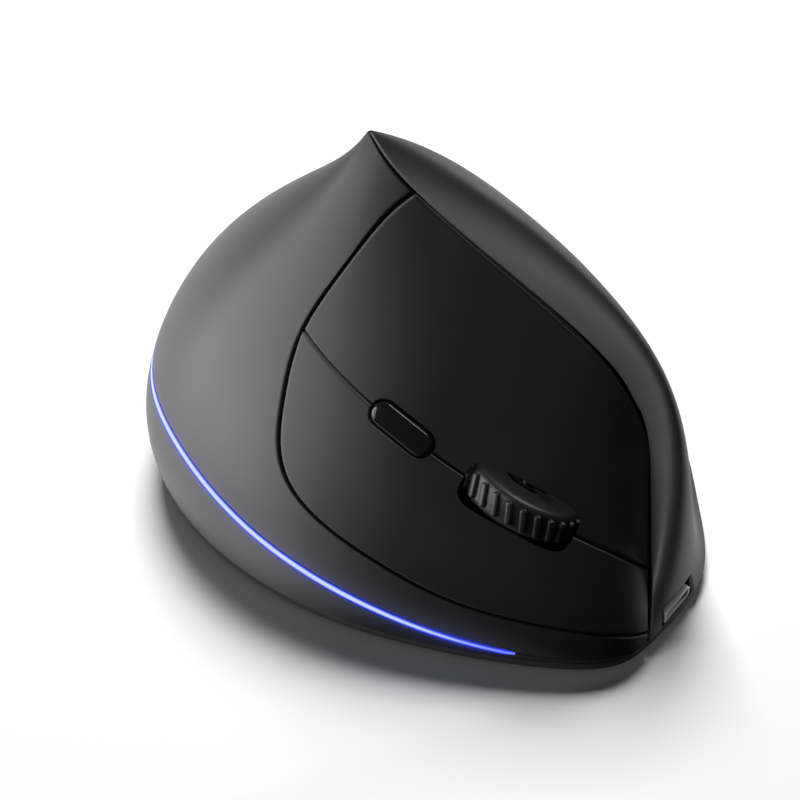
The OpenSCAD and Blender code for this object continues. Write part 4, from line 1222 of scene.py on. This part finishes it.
@dataclass
class Shells:
    """The fixed shells: palm side, lower skirt, thumb side and bottom cover."""

    turn: int = 16
    palm_rows: int = 14
    thumb_pair: tuple[float, float] = (30.0, 8.4)
    thumb_gap: float = 0.4
    thumb_out: float = 1.2
    port_w: float = 7.6
    port_h: float = 2.6
    port_gap: float = 0.6
    port_depth: float = 5.6
    port_metal: float = 0.35
    screw_at: tuple[tuple[float, float], ...] = ((22, -27), (-22, -28), (27, 10), (-13.5, 31))

    def __post_init__(self) -> None:
        """Measures the row of thumb buttons and the port's place."""
        shares = np.linspace(0.2, 0.95, 61)
        points = LEFT.point(shares, np.full(61, BODY.thumb_down))
        self.row = RunTable(points, shares)
        self.row_middle = self.row.distance(BODY.thumb_round)
        u = np.linspace(1, 0.6, 25)
        z = LEFT.point(np.full(25, BODY.port_round), u)[:, 2]
        self.port_z = BODY.skate + BODY.base + 0.2
        middle, top = np.interp([self.port_z + self.port_h / 2, self.port_z + self.port_h], z, u)
        self.port_out = unit(LEFT.normal(BODY.port_round, middle) * (1, 1, 0))
        self.port_right = np.array([self.port_out[1], -self.port_out[0], 0])
        self.port_face = LEFT.point(BODY.port_round, top)

    def thumb_v(self, s: Array) -> Array:
        """Share round the left skin at a distance behind the thumb buttons' middle."""
        return self.row.share(self.row_middle + np.asarray(s))

    def thumb_half(self, s: Array) -> Array:
        """Half the height of the thumb buttons' opening."""
        length, height = self.thumb_pair
        x = np.minimum(1, np.abs(s) / (length / 2)) * 0.985
        return height / 2 * np.power(1 - x**3, 1 / 3)

    def port_turn(self, x: float) -> float:
        """Share round the left skin of a place across the port's middle."""
        v = np.linspace(0.2, 0, 41)
        across = (LEFT.inside(v, np.full(41, 0.95)) - self.port_face) @ self.port_right
        return float(np.interp(x, across, v))

    def port_over(self, v: float) -> float:
        """Share down the left skin of the port opening's upper edge."""
        u = np.linspace(1, 0.6, 25)
        z = LEFT.inside(np.full(25, v), u)[:, 2]
        return float(np.interp(self.port_z + self.port_h + self.port_gap, z, u))

    def build_palm(self) -> bpy.types.Object:
        """Makes the palm shell."""
        stops = LINE.all_stops()
        line = LINE.edge(stops, -1)[::-1]
        rear = np.column_stack([np.ones(self.turn), np.linspace(0, line[0, 1], self.turn + 1)[:-1]])
        outer = np.vstack([rear, line])
        inner = spline(PALM_SEAM, np.linspace(1, 0, len(outer)))
        share = np.linspace(0, 1, self.palm_rows)[:, None]
        net = coons(inner, outer, mix(inner[0], outer[0], share), mix(inner[-1], outer[-1], share))
        net = tighten(RIGHT, net, BODY.seam / 2, BODY.groove / 2, BODY.seam / 2, 0)
        obj = Panel("palm_shell", RIGHT, net).build()
        add_painted_blue_light(obj)
        return settle(obj, "palm_shell", "body", SOFT_BLACK)

    def build_skirt(self) -> bpy.types.Object:
        """Makes the lower shell under the light line."""
        q = LINE.edge(LINE.all_stops(), 1)
        share = np.linspace(0, 1, 6)
        u = mix(q[:, 1:], np.ones((len(q), 1)), share[None])
        net = tighten(RIGHT, net_of(q[:, 0], u), BODY.groove / 2, BODY.seam / 2, 0, 0)
        obj = Panel("skirt", RIGHT, net).build()
        add_painted_blue_light(obj)
        return settle(obj, "skirt", "body", SOFT_BLACK)

    def build_thumb(self) -> bpy.types.Object:
        """Makes the thumb-side shell, with the openings for its buttons and the port."""
        length = self.thumb_pair[0]
        spread = self.port_w / 2 + self.port_gap
        port = (self.port_turn(spread), self.port_turn(-spread))
        hole = slot_stops(0, length, 30)
        ends = self.thumb_v(np.array([-length / 2, length / 2]))
        lead = np.concatenate(
            [
                np.linspace(0, port[0], 4)[:-1],
                np.linspace(port[0], port[1], 9)[:-1],
                np.linspace(port[1], ends[0], 22)[:-1],
            ]
        )
        tail = np.linspace(ends[1], 1, 28)[1:]
        v = np.concatenate([lead, self.thumb_v(hole), tail])
        s = np.concatenate([np.full(len(lead), -length), hole, np.full(len(tail), length)])
        h = LEFT.down_share(v, np.full(len(v), BODY.thumb_down), self.thumb_half(s))
        ridge = mix(BODY.groove, BODY.seam, ease(0, 0.35, v)) / 2
        start = LEFT.down_share(v, np.full(len(v), 0.02), ridge)
        above, below = BODY.thumb_down - h, BODY.thumb_down + h
        over = np.array([self.port_over(x) for x in np.clip(v, *port)])
        legs = ((start, above, 10), (above, below, 4), (below, over, 9))
        rows = [mix(a, b, i / n) for a, b, n in legs for i in range(n)]
        rows += [mix(over, 1, i / 3) for i in range(4)]
        u = np.stack(rows, 1)
        net = tighten(LEFT, net_of(v, u), BODY.groove / 2, BODY.seam / 2, 0, 0)
        first = len(lead)
        columns = plain_grades(len(v) - 1)
        columns[first - 1], columns[first + 30] = Grade.END, Grade.START
        grades = plain_grades(26)
        grades[9], grades[14] = Grade.END, Grade.START
        panel = Panel("thumb_shell", LEFT, net, columns, grades)
        panel.openings = [(first, first + 30, 10, 14), (3, 11, 23, 26)]
        obj = panel.build()
        return settle(obj, "thumb_shell", "body", SOFT_SIDE_PAINTED_LIGHT)

    def build_thumb_button(
        self, name: str, body: str, start: float, end: float
    ) -> bpy.types.Object:
        """Makes one thumb button.

        Args:
            name: The solid that it stands for.
            body: The body that it rides on.
            start: Its front end, behind the pair's middle.
            end: Its rear end.

        Returns:
            The piece.
        """
        s = np.linspace(start, end, 24)
        v = self.thumb_v(s)
        height = self.thumb_half(s) - self.thumb_gap
        h = LEFT.down_share(v, np.full(len(v), BODY.thumb_down), height)
        u = BODY.thumb_down + np.linspace(-1, 1, 9)[None] * h[:, None]
        panel = Panel(name, LEFT, net_of(v, u), radius=0.7, lift=self.thumb_out, straight=True)
        obj = panel.build()
        return settle(obj, name, body, SATIN_BLACK)

    def port_form(self, inset: float, corner: float, depth: float = 0.0) -> bpy.types.Object:
        """Metal with the port's outline, a plate or an open tube.

        Args:
            inset: How much smaller than the port it is.
            corner: Radius of its corners.
            depth: Length of the tube, or 0 for a plate.

        Returns:
            The metal, which lies at the origin.
        """
        deselect()
        bpy.ops.mesh.primitive_plane_add(size=1)
        obj = bpy.context.object
        obj.scale = ((self.port_w - inset) * MM, (self.port_h - inset) * MM, 1)
        bpy.ops.object.transform_apply(location=False, rotation=False, scale=True)
        with editing(obj):
            bpy.ops.mesh.bevel(offset=corner * MM, segments=6, affect="VERTICES")
            if depth:
                run = {"value": (0, 0, depth * MM)}
                bpy.ops.mesh.extrude_region_move(TRANSFORM_OT_translate=run)
                bpy.ops.mesh.delete(type="ONLY_FACE")
        apply_modifier(obj, "SOLIDIFY", thickness=self.port_metal * MM, offset=0)
        return obj

    def build_port(self) -> bpy.types.Object:
        """Makes the metal shell of the charging port, with a plate inside its mouth."""
        out, right = self.port_out, self.port_right
        origin = np.array([*self.port_face[:2], self.port_z + self.port_h / 2])
        depth, metal = self.port_depth, self.port_metal
        tube = self.port_form(metal, 0.7, depth)
        plate = self.port_form(2 * metal, 0.5)
        plate.data.transform(Matrix.Translation((0, 0, (depth - 2 * metal) * MM)))
        obj = join("port_shell", [tube, plate])
        place = np.column_stack([right, (0, 0, 1), out, (origin - depth * out) * MM])
        seat(obj, Matrix([*place.tolist(), [0, 0, 0, 1]]))
        smooth(obj, 40)
        return settle(obj, "port_shell", "body", PORT_TIN)

    def rim_outline(self, gap: float, n: int) -> Array:
        """Outline of the shells' rim, moved in by a gap."""
        v = np.arange(n) / n
        one = np.ones(n)
        made = []
        for skin, turn in ((RIGHT, v), (LEFT, 1 - v)):
            made.append(skin.point(turn, one) - gap * skin.inward(turn, one))
        return np.vstack(made)[:, :2]


@dataclass
class ScrollWheel:
    """The scroll wheel's ribbed tyre, in the lean that its slot shows."""

    face: ButtonFace
    diameter: float = 21.2
    width: float = 5.2
    edge: float = 1.3
    rib: float = 0.7
    ribs: int = 26
    slant: float = 24.0
    stands_out: float = 3.8
    lean: float = 22.0
    aside: float = -0.4
    rim: float = 6.6

    def place(self) -> Matrix:
        """Placing matrix of the wheel: second axis along the axle, third axis out."""
        base = self.face.at_wheel.matrix()
        shift = Matrix.Translation((0, self.aside * MM, 0))
        tilt = Matrix.Rotation(math.radians(self.lean), 4, "X")
        sink = Matrix.Translation((0, 0, (self.stands_out - self.diameter / 2) * MM))
        return base @ shift @ tilt @ sink

    def build(self) -> bpy.types.Object:
        """Makes the tyre."""
        deselect()
        core = self.diameter / 2 - self.rib
        bpy.ops.mesh.primitive_cylinder_add(
            vertices=104, radius=core * MM, depth=(self.width + 0.1) * MM, end_fill_type="NOTHING"
        )
        ring = bpy.context.object
        apply_modifier(ring, "SOLIDIFY", thickness=self.rim * MM, offset=-1)
        apply_modifier(
            ring, "BEVEL", width=self.edge * MM, segments=6, limit_method="ANGLE",
            angle_limit=math.radians(50),
        )
        deselect()
        bpy.ops.mesh.primitive_cube_add(size=1)
        rib = bpy.context.object
        tall = self.rib + 0.5
        rib.scale = (tall * MM, 1.15 * MM, (self.width - self.edge) * MM)
        bpy.ops.object.transform_apply(location=False, rotation=False, scale=True)
        apply_modifier(rib, "BEVEL", width=0.4 * MM, segments=3, limit_method="NONE")
        out = Matrix.Translation(((self.diameter / 2 - tall / 2) * MM, 0, 0))
        rib.data.transform(out @ Matrix.Rotation(math.radians(self.slant), 4, "X"))
        parts = [ring]
        for i in range(self.ribs):
            parts.append(copy_of(rib, Matrix.Rotation(2 * math.pi * i / self.ribs, 4, "Z")))
        bpy.data.objects.remove(rib)
        tyre = join("wheel_tyre", parts)
        seat(tyre, self.place() @ Matrix.Rotation(math.pi / 2, 4, "X"))
        smooth(tyre, 45)
        return settle(tyre, "wheel_tyre", "wheel", RUBBER)


@dataclass
class BaseCover:
    """The bottom cover, with its screw holes, sensor window and switch slot."""

    shells: Shells
    window_at: tuple[float, float] = (-12.5, -9.5)
    window: tuple[float, float] = (9.4, 11.4)
    slot_at: tuple[float, float] = (-13.0, 19.6)
    slot: tuple[float, float] = (2.6, 5.6)

    def cutter(self) -> bpy.types.Object:
        """Solids of all the openings, joined."""
        parts = []
        for x, y in self.shells.screw_at:
            for radius, depth in ((1.05, 9), (2.1, 1.3)):
                deselect()
                bpy.ops.mesh.primitive_cylinder_add(
                    vertices=48, radius=radius * MM, depth=2 * depth * MM,
                    location=(x * MM, y * MM, BODY.skate * MM),
                )
                parts.append(bpy.context.object)
        for (x, y), (w, l) in ((self.window_at, self.window), (self.slot_at, self.slot)):
            deselect()
            bpy.ops.mesh.primitive_cube_add(size=1, location=(x * MM, y * MM, 0))
            parts.append(bpy.context.object)
            parts[-1].scale = (w * MM, l * MM, 20 * MM)
        for part in parts:
            seat(part, Matrix.Identity(4))
        return join("cover_cuts", parts)

    def build(self) -> bpy.types.Object:
        """Makes the cover."""
        outline = self.shells.rim_outline(0.4, 110)
        low = np.column_stack([outline, np.full(len(outline), BODY.skate)])
        obj = add_mesh("base_plate", low, [list(range(len(outline)))])
        with editing(obj):
            rise = {"value": (0, 0, BODY.base * MM)}
            bpy.ops.mesh.extrude_region_move(TRANSFORM_OT_translate=rise)
            bpy.ops.mesh.select_all(action="SELECT")
            bpy.ops.mesh.normals_make_consistent(inside=False)
        apply_modifier(
            obj, "BEVEL", width=0.5 * MM, segments=4, limit_method="ANGLE",
            angle_limit=math.radians(60),
        )
        cuts = self.cutter()
        apply_modifier(obj, "BOOLEAN", operation="DIFFERENCE", object=cuts, solver="EXACT")
        bpy.data.objects.remove(cuts)
        smooth(obj, 35)
        return settle(obj, "base_plate", "body", BASE_BLACK)


class Reach(Enum):
    """What a lamp lights."""

    FLOOR = ("INCLUDE", "floor")
    ALL_BUT_FLOOR = ("EXCLUDE", "floor")
    CREST = ("INCLUDE", "thumb_shell")
    FACE_EDGES = ("INCLUDE", "left_button", "right_button", "dpi_button", "wheel_tyre")
    SMALL_PIECES = ("INCLUDE", "dpi_button", "wheel_tyre")


@dataclass(frozen=True)
class Lamp:
    """A soft studio lamp."""

    name: str
    place: tuple[float, float, float]
    size: tuple[float, float]
    power: float
    reach: Reach = Reach.ALL_BUT_FLOOR
    shadow: bool = True
    aim: tuple[float, float, float] = (0.0, 0.0, 0.04)

    def build(self) -> None:
        """Adds the lamp."""
        deselect()
        bpy.ops.object.light_add(type="AREA", location=self.place)
        lamp = bpy.context.object
        lamp.name = self.name
        lamp.data.shape = "RECTANGLE"
        lamp.data.size, lamp.data.size_y = self.size
        lamp.data.energy = self.power
        lamp.data.use_shadow = self.shadow
        way = Vector(self.aim) - Vector(self.place)
        lamp.rotation_euler = way.to_track_quat("-Z", "Y").to_euler()
        lit = bpy.data.collections.new(f"{self.name}_reach")
        state, *names = self.reach.value
        for name in names:
            lit.objects.link(PIECES[name])
        for member in lit.collection_objects:
            member.light_linking.link_state = state
        lamp.light_linking.receiver_collection = lit


@dataclass
class Studio:
    """The floor, the lamps and the camera."""

    target: tuple[float, float, float] = (1.8, -4.6, 18.6)
    round_angle: float = 25.0
    rise: float = 46.0
    distance: float = 312.5
    view_angle: float = 24.0
    dim: float = 0.03
    floor_size: float = 8.0
    floor_lift: float = 0.03
    flag_turn: float = 45.0
    flag_near: float = 50.0
    flag_size: float = 2.4
    lamps: tuple[Lamp, ...] = (
        Lamp("side_box", (0.41, -0.72, 0.23), (0.98, 0.5), 8.5),
        Lamp("high_box", (0.57, -0.27, 0.61), (0.55, 0.3), 2.1),
        Lamp("back_box", (-0.85, 0.2, 0.42), (0.9, 0.6), 5.1),
        Lamp("crest_box", (0.84, -0.22, 0.28), (0.6, 0.4), 4.0, Reach.CREST),
        Lamp("edge_box", (-0.58, 0.27, 0.68), (0.35, 0.35), 3.0, Reach.FACE_EDGES, shadow=False),
        Lamp("spark_box", (0.22, -0.67, 0.58), (0.26, 0.26), 2.2, Reach.SMALL_PIECES),
        Lamp("floor_lamp", (-0.48, -0.28, 0.86), (0.42, 0.42), 14.7, Reach.FLOOR, aim=(0, 0, 0)),
    )

    def camera(self) -> None:
        """Adds the camera at the photograph's viewing angle."""
        a, e = math.radians(self.round_angle), math.radians(self.rise)
        back = Vector((math.cos(e) * math.cos(a), math.cos(e) * math.sin(a), math.sin(e)))
        deselect()
        bpy.ops.object.camera_add(location=(Vector(self.target) + back * self.distance) * MM)
        cam = bpy.context.object
        cam.data.sensor_fit = "HORIZONTAL"
        cam.data.angle = math.radians(self.view_angle)
        cam.data.clip_start = 0.01
        cam.rotation_euler = (-back).to_track_quat("-Z", "Y").to_euler()
        bpy.context.scene.camera = cam

    def floor(self) -> None:
        """Adds the pale floor, which shows white to the camera and keeps the shadow."""
        deselect()
        bpy.ops.mesh.primitive_plane_add(size=self.floor_size)
        floor = bpy.context.object
        floor.name = "floor"
        made, n, shader = start_material("pale_floor")
        fill(
            shader, Base_Color=(0.9, 0.9, 0.9, 1), Roughness=0.9, Specular_IOR_Level=0.0,
            Emission_Color=(1, 1, 1, 1),
        )
        rays = n.add("LightPath").outputs
        seen = rays["Is Camera Ray"]
        for ray in ("Is Glossy Ray", "Is Transmission Ray"):
            either = n.add("Math", operation="MAXIMUM")
            n.link(seen, either.inputs[0])
            n.link(rays[ray], either.inputs[1])
            seen = either.outputs["Value"]
        lift = n.add("Math", operation="MULTIPLY")
        lift.inputs[1].default_value = self.floor_lift
        n.link(seen, lift.inputs[0])
        n.link(lift.outputs["Value"], shader.inputs["Emission Strength"])
        floor.data.materials.append(made)
        PIECES["floor"] = floor

    def flag(self) -> None:
        """Lays a black card before the part, out of the camera's sight, to keep its front dark."""
        deselect()
        bpy.ops.mesh.primitive_plane_add(size=self.flag_size)
        card = bpy.context.object
        card.name = "black_flag"
        turn = Matrix.Rotation(math.radians(self.flag_turn), 4, "Z")
        reach = Matrix.Translation((self.flag_near * MM + self.flag_size / 2, 0, MM))
        card.data.transform(turn @ reach)
        made, _, shader = start_material("flag_black")
        fill(shader, Base_Color=(0.004, 0.004, 0.004, 1), Specular_IOR_Level=0.0)
        card.data.materials.append(made)
        card.visible_camera = False
        card.visible_shadow = False

    def air(self) -> bpy.types.World:
        """The world, which gives a dim even light."""
        world = bpy.data.worlds.new("studio_air")
        world.use_nodes = True
        fill(world.node_tree.nodes["Background"], Color=(1, 1, 1, 1), Strength=self.dim)
        return world

    def build(self) -> None:
        """Sets the stage."""
        scene = bpy.context.scene
        scene.view_settings.view_transform = "Standard"
        scene.world = self.air()
        self.camera()
        self.floor()
        self.flag()
        for lamp in self.lamps:
            lamp.build()


def dress_solids() -> None:
    """Gives every solid that stays in view its finish."""
    for finish, nodes in NODE_FINISH.items():
        for node in nodes:
            dress(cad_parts[node], finish)
            log.info("%s has the finish %s", node, finish.name)


def main() -> None:
    """Builds the pieces, dresses them and sets the stage."""
    logging.basicConfig(level=logging.INFO, format="%(name)s: %(message)s")
    dress_solids()
    face, shells = ButtonFace(), Shells()
    shells.build_palm()
    shells.build_skirt()
    shells.build_thumb()
    LINE.build()
    face.build_left()
    face.build_right()
    face.build_dpi()
    length, gap = shells.thumb_pair[0], shells.thumb_gap
    shells.build_thumb_button("forward_button", "forward_key", gap - length / 2, -gap / 2)
    shells.build_thumb_button("back_button", "back_key", gap / 2, length / 2 - gap)
    shells.build_port()
    ScrollWheel(face).build()
    BaseCover(shells).build()
    Studio().build()


if __name__ == "__main__":
    main()
